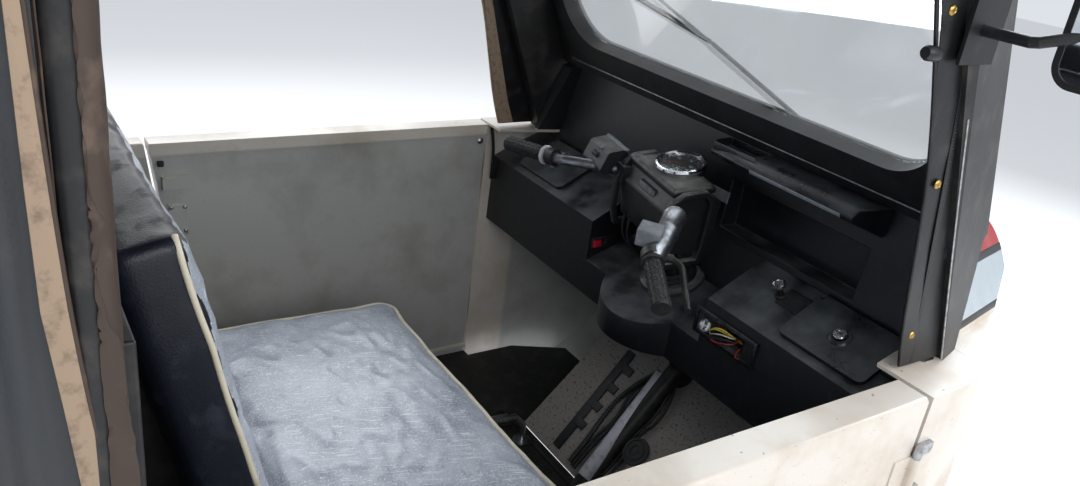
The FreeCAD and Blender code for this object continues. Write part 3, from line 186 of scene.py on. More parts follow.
def worn_finish(name, main, worn, patch_mm, low, high, detail, **constants):
    """A finish whose colour changes in worn patches; it also gives the patches' mask."""
    mat, shader, place = finish_named(name, **constants)
    wear = patches(mat, place, patch_mm, low, high, detail)
    join(mat, mix(mat, wear, colour(main), colour(worn)), shader, "Base Color")
    return mat, shader, place, wear

# %% [markdown]
# Sprayed alkyd enamel covers the sheet steel. It is smooth and half glossy, yellowed
# where hands and boots reach it, with grime in soft blotches and a few bare scratches.
# The outside is cream. Inside the cab, where a panel faces the middle, it is a duller grey, which is painted
# shade on the cream enamel, and the pillars' feet are black.

# %% Sprayed enamel
enamel, shader, place = finish_named("sprayed_enamel_cream_painted_shade", Coat_Weight=0.25, Coat_Roughness=0.18)
split = add(enamel, "ShaderNodeSeparateXYZ", {"Vector": place})
inside = ramp(enamel, maths(enamel, "ABSOLUTE", split.outputs["X"]), 0.630, 0.628)
low_down = ramp(enamel, split.outputs["Z"], 0.923, 0.918)
facing = add(enamel, "ShaderNodeTexCoord").outputs["Normal"]
from_middle = add(enamel, "ShaderNodeVectorMath", {0: place, 1: (0.0, -0.2, 0.6)}, operation="SUBTRACT")
outward = add(enamel, "ShaderNodeVectorMath", {0: facing, 1: from_middle.outputs[0]}, operation="DOT_PRODUCT")
inward = ramp(enamel, outward.outputs["Value"], 0.03, -0.03)
# inward faces inside the cab: a duller grey that is painted shade on the cream enamel
inward_shade_zone = maths(enamel, "MULTIPLY", maths(enamel, "MULTIPLY", inside, low_down), inward)
grime = patches(enamel, place, 160, 0.48, 0.74, 6)
cream = mix(enamel, grime, colour("#d2cbc2"), colour("#beb1a0"))
# the painted shade colour, with the same grime blotches
grey = mix(enamel, grime, colour("#b2b3af"), colour("#989790"))
base = mix(enamel, inward_shade_zone, cream, grey)
foot_zone = maths(enamel, "MULTIPLY", ramp(enamel, split.outputs["Z"], 0.951, 0.952),
                  ramp(enamel, split.outputs["Y"], -0.966, -0.965))
base = mix(enamel, foot_zone, base, colour("#1b1c1e"))
scratch_place = add(enamel, "ShaderNodeMapping", {"Vector": place, "Scale": (1.0, 1.0, 9.0),
                                                  "Rotation": (0.5, 0.2, 0.3)})
scratch = patches(enamel, scratch_place.outputs[0], 14, 0.70, 0.74, 2)
join(enamel, mix(enamel, scratch, base, colour("#77716a")), shader, "Base Color")
join(enamel, ramp(enamel, grime, 0.0, 1.0, 0.34, 0.62), shader, "Roughness")
bumped(enamel, shader, cloud(enamel, place, 9), 0.0002)

# %% [markdown]
# The dashboard is moulded ABS with a leather grain. Years of road dust lie on whatever faces up, wiped away in
# patches; the pale tone of upward faces is partly that dust and partly painted sky light on the tops, so the
# colour follows the face's direction as well as a noise.

# %% Moulded dashboard plastic
def moulded(name, dark, dust_and_sky_light, grain_mm, rough_low, rough_high, dust_and_light_share):
    """Grained moulded plastic, paler where it faces up: partly dust, partly painted sky light."""
    mat, shader, place = finish_named(name, IOR=1.54)
    facing = add(mat, "ShaderNodeSeparateXYZ",
                 {"Vector": add(mat, "ShaderNodeNewGeometry").outputs["Normal"]})
    up = ramp(mat, facing.outputs["Z"], 0.15, 0.95)
    # upward faces take the pale tone: dust and painted sky light on the tops
    dust_and_light_mask = maths(mat, "MULTIPLY", maths(mat, "MULTIPLY", up, patches(mat, place, 70, 0.36, 0.70, 8)), dust_and_light_share)
    shade = mix(mat, patches(mat, place, 22, 0.55, 0.8, 5), colour(dark), colour("#2a2d33"))
    join(mat, mix(mat, dust_and_light_mask, shade, colour(dust_and_sky_light)), shader, "Base Color")
    join(mat, ramp(mat, dust_and_light_mask, 0.0, 1.0, rough_low, rough_high), shader, "Roughness")
    grain = add(mat, "ShaderNodeTexVoronoi", {"Vector": place, "Scale": MM / grain_mm})
    bumped(mat, shader, grain.outputs["Distance"], 0.00025, 0.45)
    return mat


dash_plastic = moulded("abs_grained_dashboard", "#16181c", "#6d7276", 2.2, 0.34, 0.75, 0.75)
lid_plastic = moulded("abs_smooth_lid", "#1a1c20", "#7c8387", 3.0, 0.26, 0.6, 0.55)
pod_plastic = moulded("abs_handlebar_housing", "#1a1b1e", "#94938e", 1.6, 0.4, 0.85, 1.0)
black_plastic = moulded("polypropylene_black", "#141517", "#55575a", 1.4, 0.42, 0.7, 0.5)

# %% [markdown]
# Rubber is nearly black and dull. It greys where it has weathered, and its skin is
# slightly uneven, so its highlights are broad and broken.

# %% Rubber
def rubber_like(name, dark, worn, patch_mm, roughness, bump_mm):
    mat, shader, place, wear = worn_finish(name, dark, worn, patch_mm, 0.45, 0.8, 6, Roughness=roughness)
    bumped(mat, shader, cloud(mat, place, bump_mm, 3.0), 0.0003)
    return mat


seal_rubber = rubber_like("epdm_window_seal", "#0f1012", "#26292d", 60, 0.55, 5)
tyre_rubber = rubber_like("tyre_rubber", "#141415", "#35332f", 40, 0.75, 2)
grip_rubber = rubber_like("moulded_grip_rubber", "#131415", "#2c2d2e", 18, 0.6, 2)
mat_rubber = rubber_like("rubber_floor_mat", "#191a1b", "#3d3a35", 50, 0.7, 4)

# %% [markdown]
# Bare and plated metals keep the default IOR and are fully metallic; what differs is
# their colour and how rough the surface is. The tube by the hand grip has lost its
# plating in places, so dark blotches break its shine.

# %% Metals
def metal(name, bright, dull, patch_mm, rough_low, rough_high, scratch_mm=1.5):
    mat, shader, place, wear = worn_finish(name, bright, dull, patch_mm, 0.42, 0.75, 7, Metallic=1.0)
    join(mat, ramp(mat, wear, 0.0, 1.0, rough_low, rough_high), shader, "Roughness")
    bumped(mat, shader, cloud(mat, place, scratch_mm), 0.00005, 0.4)
    return mat


zinc = metal("zinc_plated_steel", "#b9bcc0", "#7d7a74", 12, 0.28, 0.55)
chrome = metal("chrome_plate", "#dfe2e6", "#a9aaa8", 20, 0.07, 0.3)
worn_tube = metal("worn_nickel_tube", "#b9bcc2", "#55524f", 26, 0.32, 0.6, 6)
brass = metal("brass_snap", "#c9a65f", "#7f653a", 3, 0.28, 0.5, 0.8)
silver_lock = metal("nickel_lock", "#c9ccd0", "#8e9092", 5, 0.2, 0.4, 0.8)
cast_alloy = metal("cast_aluminium", "#8f9092", "#4d4c4a", 30, 0.55, 0.8, 3)
mirror_metal = metal("silvered_glass", "#e6ebef", "#dfe5ea", 80, 0.02, 0.04, 40)

# %% [markdown]
# Brushed-on black chassis paint is thick and soft-edged, with dust in its dips. The tan edging, the pale tube
# and the speckled toe board have the same kind of paint. The tan is a painted highlight: sunlight on the posts'
# edging and on the far curtain's edge.

# %% Brushed paint
def brushed_paint(name, main, worn, patch_mm, roughness, low=0.5, high=0.72):
    mat, shader, place, wear = worn_finish(name, main, worn, patch_mm, low, high, 7, Roughness=roughness)
    bumped(mat, shader, cloud(mat, place, 7, 4.0), 0.0004)
    return mat


frame_black = brushed_paint("brushed_black_chassis_paint", "#17181a", "#3b3733", 40, 0.5)
# tan used as painted sunlight: a painted highlight on the posts' edging and the far curtain's edge
sunlit_tan_paint = brushed_paint("tan_paint_painted_sunlight", "#94806b", "#6c594a", 12, 0.55)
pale_tube = brushed_paint("aluminium_paint", "#c7c8d3", "#8e8d92", 18, 0.4)
seat_black = brushed_paint("black_seat_box_paint", "#1b1c1f", "#38352f", 60, 0.6)
speckled = brushed_paint("speckled_toe_board_paint", "#918c88", "#5d5550", 6, 0.65, 0.56, 0.62)

# %% [markdown]
# Glass is a clear dielectric. The lamp lenses are moulded acrylic: their upright ribs
# are a wave in the normal, spaced as on real lenses, five or six millimetres apart.

# %% Glass and lenses
glass, shader, place = finish_named("laminated_glass", Base_Color=colour("#e6eeee"), Roughness=0.02,
                                    IOR=1.45, Transmission_Weight=1.0, Alpha=0.35)
film = patches(glass, place, 120, 0.5, 0.8, 5)
join(glass, ramp(glass, film, 0.0, 1.0, 0.02, 0.12), shader, "Roughness")
WAVE_TURN = 0.31416  # what one metre of a wave texture needs for one crest


def lens(name, tint, rib_mm, see_through):
    mat, shader, place = finish_named(name, Base_Color=colour(tint), Roughness=0.12, IOR=1.49,
                                      Transmission_Weight=see_through)
    ribs = add(mat, "ShaderNodeTexWave", {"Vector": place, "Scale": WAVE_TURN * MM / (rib_mm * 2),
                                          "Distortion": 0.0}, wave_type="BANDS", bands_direction="X")
    bumped(mat, shader, ribs.outputs["Fac"], 0.0012, 1.0)
    return mat


clear_lens = lens("ribbed_clear_acrylic", "#c5d3dc", 5, 0.35)
red_lens = lens("ribbed_red_acrylic", "#b01a1c", 6, 0.2)

# %% [markdown]
# Each CAD node is made of one material, so it gets one finish.

# %% Give the CAD nodes their finishes
def dress(finish, names):
    """The CAD nodes of those names get the finish in every slot."""
    for name in names.split():
        mesh = nodes[name].data
        mesh.materials.clear()
        mesh.materials.append(finish)


dress(enamel, "front_shell body_side_left body_side_right door_left door_right")
dress(enamel, "rear_panel engine_cover front_fender")
dress(dash_plastic, "dashboard dash_fascia dash_binnacle")
dress(lid_plastic, "glovebox_lid_left glovebox_lid_right")
dress(pod_plastic, "bar_housing")
dress(black_plastic, "mirrors lamp_housings")
dress(seal_rubber, "windscreen_seal")
dress(tyre_rubber, "front_tyre rear_tyre_left rear_tyre_right")
dress(grip_rubber, "grips")
dress(zinc, "door_hinges cover_hinges foot_controls front_rim rear_rim_left rear_rim_right")
dress(worn_tube, "handlebar")
dress(chrome, "speedometer")
dress(mirror_metal, "mirror_glasses")
dress(frame_black, "chassis_frame floor_pan windscreen_frame roof_frame roof_rails rear_suspension")
dress(frame_black, "steering_fork partition control_levers")
dress(seat_black, "driver_seat_base passenger_seat_base")
dress(speckled, "toe_board")
dress(cast_alloy, "engine")
dress(glass, "windscreen_glass rear_window")
dress(clear_lens, "headlamp_lenses")
dress(red_lens, "tail_lamps marker_lenses")
print("dressed nodes", sum(1 for n in nodes.values() if n.data.materials))

# %% [markdown]
# The small pieces are modelled as by hand: a primitive goes in at its size and place,
# is shaped in edit mode, and its modifiers are applied. These helpers do the parts
# that repeat: starting clean, choosing faces, and fixing a finished piece in place.

# %% Helpers for modelling
def alone(obj):
    """Select this object and nothing else."""
    bpy.ops.object.select_all(action="DESELECT")
    obj.select_set(True)
    bpy.context.view_layer.objects.active = obj


def settle(obj):
    """Move the object's place, turn and size into its mesh."""
    alone(obj)
    bpy.ops.object.transform_apply(location=True, rotation=True, scale=True)


def modify(obj, kind, **settings):
    """Add a modifier and apply it."""
    alone(obj)
    mod = obj.modifiers.new(kind, kind)
    for key, value in settings.items():
        setattr(mod, key, value)
    bpy.ops.object.modifier_apply(modifier=mod.name)


def eased(obj, width, segments, degrees=30):
    """Round every edge sharper than this many degrees."""
    modify(obj, "BEVEL", width=width, segments=segments, limit_method="ANGLE",
           angle_limit=math.radians(degrees))


def choose(obj, wanted, kind="FACE"):
    """Enter edit mode with the faces or edges chosen for which wanted() is true."""
    alone(obj)
    bpy.ops.object.mode_set(mode="EDIT")
    bpy.ops.mesh.select_mode(type=kind)
    bpy.ops.mesh.select_all(action="DESELECT")
    mesh = bmesh.from_edit_mesh(obj.data)
    for item in (mesh.faces if kind == "FACE" else mesh.edges):
        item.select_set(bool(wanted(item)))
    mesh.select_flush_mode()
    bmesh.update_edit_mesh(obj.data)


def leave():
    bpy.ops.object.mode_set(mode="OBJECT")


def sunk(obj, wanted, rim, push):
    """Inset the wanted faces by rim and push what is inside along a vector."""
    choose(obj, wanted)
    bpy.ops.mesh.inset(thickness=rim)
    bpy.ops.mesh.extrude_region_move(TRANSFORM_OT_translate={"value": push})
    leave()


def pierced(obj, wanted, rim):
    """Inset the two wanted faces by rim and bridge them into a hole."""
    choose(obj, wanted)
    bpy.ops.mesh.inset(thickness=rim)
    bpy.ops.mesh.bridge_edge_loops()
    leave()


def facing_up(face, least=0.9):
    return face.normal.z > least


def finished(obj, name, finish, body="body", turn=None, smooth=40):
    """Name the piece, give it its finish, fix it in place and let it ride on a body."""
    settle(obj)
    if turn is not None:
        obj.data.transform(turn)
    obj.name = name
    obj.data.materials.clear()
    obj.data.materials.append(finish)
    alone(obj)
    bpy.ops.object.shade_smooth_by_angle(angle=math.radians(smooth))
    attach(obj, body)
    return obj


def aimed(way):
    """The turn that points local Z along way."""
    return Vector(way).to_track_quat("Z", "Y").to_euler()


def slab(centre, size, bevel, turn=(0, 0, 0), segments=3):
    """A cube brought to size with its edges rounded; more shaping can follow."""
    alone(camera)
    bpy.ops.mesh.primitive_cube_add(size=1, location=centre, rotation=turn)
    obj = bpy.context.object
    obj.scale = size
    bpy.ops.object.transform_apply(location=False, rotation=False, scale=True)
    eased(obj, bevel, segments)
    return obj


def turned_rod(start, end, radius, bevel, sides=32):
    """A cylinder from start to end with eased rims."""
    start, end = Vector(start), Vector(end)
    bpy.ops.mesh.primitive_cylinder_add(vertices=sides, radius=radius, depth=(end - start).length,
                                        location=(start + end) / 2, rotation=aimed(end - start))
    obj = bpy.context.object
    eased(obj, bevel, 2, 50)
    return obj


def wire(name, points, radius, finish, body="body", turn=None, sides=6):
    """A round wire or hose on one smooth curve through a few control points."""
    curve = bpy.data.curves.new(name, "CURVE")
    curve.dimensions, curve.bevel_depth, curve.bevel_resolution = "3D", radius, sides // 2
    curve.use_fill_caps = True
    spline = curve.splines.new("NURBS")
    spline.points.add(len(points) - 1)
    for point, place in zip(spline.points, points):
        point.co = (*place, 1)
    spline.order_u, spline.use_endpoint_u = 3, True
    curve.resolution_u = 8
    obj = bpy.data.objects.new(name, curve)
    scene.collection.objects.link(obj)
    alone(obj)
    bpy.ops.object.convert(target="MESH")
    return finished(obj, name, finish, body, turn, 60)


def joined(pieces, name, finish, body="body", turn=None):
    """Join settled pieces into the first and finish it."""
    alone(pieces[0])
    for piece in pieces:
        piece.select_set(True)
    bpy.ops.object.join()
    return finished(pieces[0], name, finish, body, turn)


column_foot = Vector((0, -0.8825, 0.790))
steer_axis = Vector((0, math.sin(math.radians(20)), math.cos(math.radians(20))))
parked = (Matrix.Translation(column_foot) @ Matrix.Rotation(math.radians(-10), 4, steer_axis)
          @ Matrix.Translation(-column_foot))


def steered(obj, name, finish, smooth=40):
    """Finish a piece that was made with the handlebar straight, and turn it as it is parked."""
    return finished(obj, name, finish, "steering", parked, smooth)


print("steering turned to", tuple(round(v, 3) for v in parked @ Vector((0.35, -0.6, 0.97))))

# %% [markdown]
# The seats are foam on boards, covered in sewn sheet goods. The driver's cushion and the face of its backrest
# wear a silvery film cloth; the sides are dark blue vinyl. Pale fine streaks in four directions are painted
# highlights of the crinkled film, and slow noise gives the dirt. The rear bench is in a plain dark vinyl.

# %% Seat cloth and vinyl
def streak(mat, place, turn, along_mm, across_mm, low, high):
    """Thin straight pale streaks, painted highlights, that run at an angle across the level plane."""
    turned = add(mat, "ShaderNodeMapping", {"Vector": place, "Rotation": (0, 0.35 * turn, turn)})
    stretched = add(mat, "ShaderNodeMapping", {"Vector": turned.outputs[0],
                                               "Scale": (MM / across_mm, MM / along_mm, MM / across_mm)})
    return ramp(mat, cloud(mat, stretched.outputs[0], MM, 3.0), low, high)


film_cloth, shader, place = finish_named("silver_film_cloth_painted_glints", Coat_Weight=0.5, Coat_Roughness=0.22)
tone = mix(film_cloth, patches(film_cloth, place, 90, 0.35, 0.7, 5), colour("#8d95a4"), colour("#b3bbc8"))
tone = mix(film_cloth, patches(film_cloth, place, 25, 0.6, 0.85, 6), tone, colour("#757d8c"))
glint_streaks = None
# pale streaks in four directions: painted highlights of the crinkled film
for turn, along, low in ((0.3, 70, 0.60), (1.15, 46, 0.62), (1.9, 80, 0.61), (2.75, 38, 0.63)):
    line = streak(film_cloth, place, turn, along, 1.8, low, low + 0.07)
    glint_streaks = line if glint_streaks is None else maths(film_cloth, "MAXIMUM", glint_streaks, line)
join(film_cloth, mix(film_cloth, glint_streaks, tone, colour("#dfe3ea")), shader, "Base Color")
join(film_cloth, ramp(film_cloth, glint_streaks, 0.0, 1.0, 0.36, 0.6), shader, "Roughness")
bumped(film_cloth, shader, cloud(film_cloth, place, 45, 6.0, Distortion=0.8), 0.004, 0.55)


def vinyl(name, dark, scuffed, grain_mm, roughness):
    """Coated cloth with a pressed grain and dull scuffs."""
    mat, shader, place, scuffs = worn_finish(name, dark, scuffed, 35, 0.55, 0.8, 7)
    join(mat, ramp(mat, scuffs, 0.0, 1.0, roughness, 0.75), shader, "Roughness")
    cells = add(mat, "ShaderNodeTexVoronoi", {"Vector": place, "Scale": MM / grain_mm})
    bumped(mat, shader, cells.outputs["Distance"], 0.0004)
    return mat


navy_vinyl = vinyl("navy_seat_vinyl", "#141924", "#2a303c", 2.5, 0.42)
bench_vinyl = vinyl("dark_bench_vinyl", "#1a1e28", "#343946", 2.5, 0.45)
flap_vinyl = vinyl("black_curtain_vinyl", "#131416", "#3a3a3c", 3.0, 0.38)
slate_vinyl = vinyl("slate_curtain_vinyl", "#2b2e32", "#3a3b3c", 3.0, 0.45)
brown_wrap = vinyl("cracked_brown_wrap", "#3c2f28", "#6b5a4c", 9.0, 0.6)
cream_piping = vinyl("cream_piping", "#d5cdb9", "#a79f8c", 1.5, 0.5)
canvas, shader, place = finish_named("coated_roof_canvas", Roughness=0.7, Sheen_Weight=0.15,
                                     Sheen_Roughness=0.5)
threads = [add(canvas, "ShaderNodeTexWave", {"Vector": place, "Scale": WAVE_TURN * MM / 3.2},
               bands_direction=way).outputs["Fac"] for way in "XY"]
sun = patches(canvas, place, 220, 0.4, 0.75, 5)
join(canvas, mix(canvas, sun, colour("#16171a"), colour("#35353a")), shader, "Base Color")
bumped(canvas, shader, maths(canvas, "ADD", *threads), 0.0004, 0.6)

# %% [markdown]
# A cushion is foam under pressure in a sewn cover, so each starts as a slightly small
# block with rounded edges, is remeshed, and is blown up by a short cloth simulation.
# No point may move further than a cap, and the underside stays on its board.

# %% Helpers for cushions
def inflate(obj, cap, floor_z, pressure=4.0, frames=20):
    """Swell the block with a cloth simulation; no point moves further than cap."""
    start = [v.co.copy() for v in obj.data.vertices]
    alone(obj)
    cloth = obj.modifiers.new("swell", "CLOTH")
    cloth.settings.quality = 5
    cloth.settings.tension_stiffness = cloth.settings.compression_stiffness = 12
    cloth.settings.bending_stiffness = 0.6
    cloth.settings.use_pressure = True
    cloth.settings.uniform_pressure_force = pressure
    cloth.settings.effector_weights.gravity = 0
    cloth.collision_settings.use_collision = False
    cloth.point_cache.frame_start, cloth.point_cache.frame_end = 1, frames
    for step in range(1, frames + 1):
        scene.frame_set(step)
    held = obj.evaluated_get(bpy.context.evaluated_depsgraph_get()).data
    moved = [v.co.copy() for v in held.vertices]
    obj.modifiers.remove(cloth)
    scene.frame_set(1)
    for vertex, before, after in zip(obj.data.vertices, start, moved):
        step = after - before
        vertex.co = before + step * min(1.0, cap / max(step.length, 1e-6))
    for vertex in obj.data.vertices:
        vertex.co.z = max(vertex.co.z, floor_z)


def span(edge):
    return edge.verts[0].co - edge.verts[1].co


def cushion(name, centre, size, corner, lean, finish, node, crown, cap=0.012, voxel=0.008):
    """A stuffed block: rounded in plan, crowned, swollen, then leaned back and placed."""
    alone(camera)
    bpy.ops.mesh.primitive_cube_add(size=1, location=(0, 0, 0))
    obj = bpy.context.object
    obj.scale = (size[0] - cap, size[1] - cap, size[2] - cap)
    bpy.ops.object.transform_apply(scale=True)
    choose(obj, lambda e: abs(span(e).normalized().z) > 0.9, "EDGE")
    bpy.ops.mesh.bevel(offset=corner, segments=6, affect="EDGES")
    leave()
    eased(obj, 0.016, 3, 60)
    obj.data.remesh_voxel_size = voxel
    alone(obj)
    bpy.ops.object.voxel_remesh()
    half = size[2] / 2
    for vertex in obj.data.vertices:
        x, y, z = vertex.co.x / size[0] * 2, vertex.co.y / size[1] * 2, vertex.co.z / half
        dome = (1 - min(1, x * x) ** 1.5) * (1 - min(1, y * y) ** 1.5)
        vertex.co.z += crown * dome * max(0.0, z)
        if abs(x) < 0.96 and abs(y) > 0.9:
            vertex.co.y -= math.copysign(0.006 * (1 - x ** 4), y)
    inflate(obj, cap, -half + cap / 2)
    modify(obj, "SUBSURF", levels=1, render_levels=1)
    obj.data.transform(Matrix.Translation(centre) @ Matrix.Rotation(lean, 4, "X"))
    finished(obj, name, finish, smooth=180)
    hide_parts(node)
    print(name, "faces", len(obj.data.polygons), "box", [round(v, 3) for v in obj.bound_box[6]])
    return obj


# %% [markdown]
# The driver's cushion is one wide pad, crowned by about a hand's thickness of foam and
# dented by use. Its film cover lies loose, so creases run in from the piped edge.

# %% Driver's cushion
def crease(obj, strength, seed, facing):
    """Loose creases in the cover, on the faces that look along facing."""
    where = Vector((seed, seed * 0.7, 0))
    outward = [v.vector.copy() for v in obj.data.vertex_normals]
    for vertex, normal in zip(obj.data.vertices, outward):
        share = max(0.0, normal.dot(facing))
        wide = noise.noise(vertex.co * 7 + where)
        fine = abs(noise.noise(Vector((vertex.co.x * 16, vertex.co.y * 30, vertex.co.z * 16)) + where * 3))
        vertex.co += normal * share * strength * (wide * 0.9 - fine * 1.1)


def second_finish(obj, finish, wanted):
    """The faces whose direction is wanted get another finish."""
    obj.data.materials.append(finish)
    for face in obj.data.polygons:
        if wanted(face.normal):
            face.material_index = 1


driver_pad = cushion("driver_seat_pad", (0, -0.179, 0.595), (0.764, 0.470, 0.108), 0.045, 0.0, film_cloth,
                     "driver_cushion", 0.016)
crease(driver_pad, 0.0038, 3.1, UP)
crease(driver_pad, 0.004, 5.3, Vector((0, -1, 0)))
second_finish(driver_pad, navy_vinyl, lambda n: abs(n.x) > 0.8 or n.z < -0.5)

# %% [markdown]
# The backrest leans back against the partition. Only its face has the film cloth; the
# sides and the back are dark vinyl with soft dents.

# %% Driver's backrest
lean, rest_centre = math.atan2(0.135, 0.560), (0, 0.1565, 0.9235)
driver_rest = cushion("driver_back_pad", rest_centre, (0.752, 0.088, 0.556), 0.022, -lean, navy_vinyl,
                      "driver_backrest", 0.0, 0.010)
crease(driver_rest, 0.005, 1.7, Vector((0, -1, 0.24)))
second_finish(driver_rest, film_cloth, lambda n: n.y < -0.8)

# %% [markdown]
# Cream piping closes the seam round the top of the cushion and up the sides of the
# backrest. It is a cord in a sleeve, so each is a thin round tube laid on the swollen
# cover: its points are found on the cover's surface, a little inside the edge.

# %% Piping
def across_cab(x, spots):
    """Corners at one place across the cab, from pairs of (y, z)."""
    return [(x, y, z) for y, z in spots]


def piped(name, cover, outline, radius, finish):
    """A thin round seam laid on the cover through the outline's nearest points."""
    laid = []
    for start, end in zip(outline, outline[1:]):
        steps = max(1, int((end - start).length / 0.03))
        laid += [start.lerp(end, k / steps) for k in range(steps)]
    points = []
    for place in laid + outline[-1:]:
        hit, spot, normal, index = cover.closest_point_on_mesh(place)
        points.append(spot + normal * radius * 0.35)
    return wire(name, points, radius, finish)


rim_z, far_x, front_y, rear_y = 0.655, 0.385, -0.418, 0.040
half_rim = ((far_x, rear_y), (far_x, front_y + 0.045),
            (far_x - 0.012, front_y + 0.013), (far_x - 0.045, front_y))
outline = [Vector((x, y, rim_z)) for x, y in half_rim + tuple((-x, y) for x, y in reversed(half_rim))]
piped("cushion_top_piping", driver_pad, outline, 0.0042, cream_piping)
tilted = Matrix.Translation(rest_centre) @ Matrix.Rotation(-lean, 4, "X")
for tag, side in SIDES:
    edge = [tilted @ Vector((side * 0.378, -0.046, h)) for h in (-0.25, 0.0, 0.255)]
    edge += [tilted @ Vector((side * 0.35, -0.046, 0.279))]
    piped("backrest_piping_" + tag, driver_rest, edge, 0.0038, cream_piping)

# %% [markdown]
# The passengers' bench has a plain pad and a plain back, in vinyl.

# %% Rear bench
bench_pad = cushion("bench_pad", (0, 0.885, 0.615), (1.178, 0.488, 0.128), 0.05, 0.0, bench_vinyl,
                    "passenger_cushion", 0.014, voxel=0.011)
bench_lean = math.atan2(0.090, 0.500)
cushion("bench_back_pad", (0, 1.213, 0.930), (1.176, 0.082, 0.498), 0.03, -bench_lean, bench_vinyl,
        "passenger_backrest", 0.0, 0.010, voxel=0.010)
crease(bench_pad, 0.004, 8.2, UP)
half_rim = ((0.59, 1.10), (0.59, 0.69), (0.54, 0.64))
rim = [Vector((x, y, 0.684)) for x, y in half_rim + tuple((-x, y) for x, y in reversed(half_rim))]
piped("bench_piping", bench_pad, rim, 0.004, navy_vinyl)

# %% [markdown]
# The roof cover is one sewn sheet of coated canvas. A section runs up one side, over
# the arched roof and down the other; the sheet is that section repeated along the
# cab, and its rear wall is filled in between the two halves of the last section. The
# cloth sags a little between the tubes, and a rolled hem closes the edges.

# %% Roof cover
def roof_section(count_side, count_arc, count_top):
    """The cover's middle line from the left belt over the top to the right belt, as (x, z)."""
    wide, turn_x, turn_z, radius, crest, low = 0.658, 0.562, 1.640, 0.096, 1.7755, 0.952
    half = [(wide, low + (turn_z - low) * i / count_side) for i in range(count_side)]
    for i in range(count_arc):
        angle = math.pi / 2 * i / count_arc
        half.append((turn_x + radius * math.cos(angle), turn_z + radius * math.sin(angle)))
    rise = crest - (turn_z + radius)
    for i in range(count_top + 1):
        x = turn_x * (1 - i / count_top)
        half.append((x, crest - rise * (x / turn_x) ** 2))
    return half + [(-x, z) for x, z in reversed(half[:-1])]


section = roof_section(30, 8, 22)
front_y, rear_y, entry_y, valance_z = -0.735, 1.3885, 0.880, 1.585
supports = [-0.735, -0.569, -0.160, 0.300, 0.830, 1.375]
window_half, window_low, window_high = 0.352, 1.216, 1.446
rows, columns, middle = 86, 40, len(section) // 2
sheet_mesh = bmesh.new()
grid = []
for j in range(rows + 1):
    y = front_y + (rear_y - front_y) * j / rows
    gap = max(s for s in supports if s <= y + 1e-6)
    after = min([s for s in supports if s > y + 1e-6] or [rear_y])
    slack = math.sin(math.pi * min(1.0, (y - gap) / max(after - gap, 1e-6)))
    line = []
    for x, z in section:
        flat = max(0.0, (z - 1.66) / 0.12)
        dip = 0.004 * slack * min(1.0, flat) + 0.0015 * noise.noise(Vector((x * 4, y * 4, z * 4)))
        line.append(sheet_mesh.verts.new((x * (1 - 0.4 * dip), y, z - dip)))
    grid.append(line)
for j in range(rows):
    for i in range(len(section) - 1):
        mid_z = (section[i][1] + section[i + 1][1]) / 2
        if grid[j][i].co.y < entry_y - 0.01 and mid_z < valance_z:
            continue
        sheet_mesh.faces.new((grid[j][i], grid[j][i + 1], grid[j + 1][i + 1], grid[j + 1][i]))
last = grid[-1]
wall = []
for i in range(middle):
    left, right = last[i], last[len(section) - 1 - i]
    between = [left]
    for k in range(1, columns):
        spot = left.co.lerp(right.co, k / columns)
        belly = 0.003 * noise.noise(spot * 5)
        between.append(sheet_mesh.verts.new(spot + Vector((0, -abs(belly), 0))))
    wall.append(between + [right])
for low, high in zip(wall, wall[1:]):
    for k in range(columns):
        centre = (low[k].co + high[k + 1].co) / 2
        if abs(centre.x) < window_half and window_low < centre.z < window_high:
            continue
        sheet_mesh.faces.new((low[k], low[k + 1], high[k + 1], high[k]))
for k in range(columns):
    sheet_mesh.faces.new((wall[-1][k], wall[-1][k + 1], last[middle]))
bmesh.ops.delete(sheet_mesh, geom=[v for v in sheet_mesh.verts if not v.link_faces], context="VERTS")
bmesh.ops.recalc_face_normals(sheet_mesh, faces=sheet_mesh.faces)
cut_area = sum(f.calc_area() for f in sheet_mesh.faces)
cover_mesh = bpy.data.meshes.new("roof_cover")
sheet_mesh.to_mesh(cover_mesh)
sheet_mesh.free()
cover = bpy.data.objects.new("roof_cover", cover_mesh)
scene.collection.objects.link(cover)
modify(cover, "SOLIDIFY", thickness=0.0016, offset=0.0)
finished(cover, "roof_cover", canvas, smooth=60)
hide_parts("roof_canopy")
hems, hem_x, hem_radius = [], 0.6585, 0.0035
for tag, side in SIDES:
    x = side * hem_x
    hem_lines = {"side_hem_": across_cab(x, ((front_y, 1.587), (0.1, 1.586), (0.874, 1.587))),
                 "entry_hem_": across_cab(x, ((entry_y, 1.587), (entry_y, 1.3), (entry_y, 0.956)))}
    hems += [wire(start + tag, line, hem_radius, canvas) for start, line in hem_lines.items()]
lip = [(x, front_y, z) for x, z in section if z >= valance_z][::6]
hems.append(wire("front_hem", lip, hem_radius, canvas))
print("roof cover area", round(cut_area, 3), "faces", len(cover.data.polygons))

# %% [markdown]
# Pressed steel and moulded plastic never have knife edges. Each CAD node that shows gets
# live modifiers and keeps its own mesh: one welds its loose triangles, one joins the flat
# ones, and a bevel rounds every sharp edge by the amount the real sheet would be bent.

# %% Round the edges of the CAD nodes
def ease(width, *names, segments=3, limit=32):
    """Round the sharp edges of these nodes by width, in metres."""
    for name in names:
        weld = nodes[name].modifiers.new("weld", "WELD")
        weld.merge_threshold = 0.00001
        flat = nodes[name].modifiers.new("join_flat", "DECIMATE")
        flat.decimate_type, flat.angle_limit = "DISSOLVE", math.radians(0.5)
        edge = nodes[name].modifiers.new("round_edges", "BEVEL")
        edge.width, edge.segments, edge.limit_method = width, segments, "ANGLE"
        edge.angle_limit = math.radians(limit)
        edge.harden_normals = True


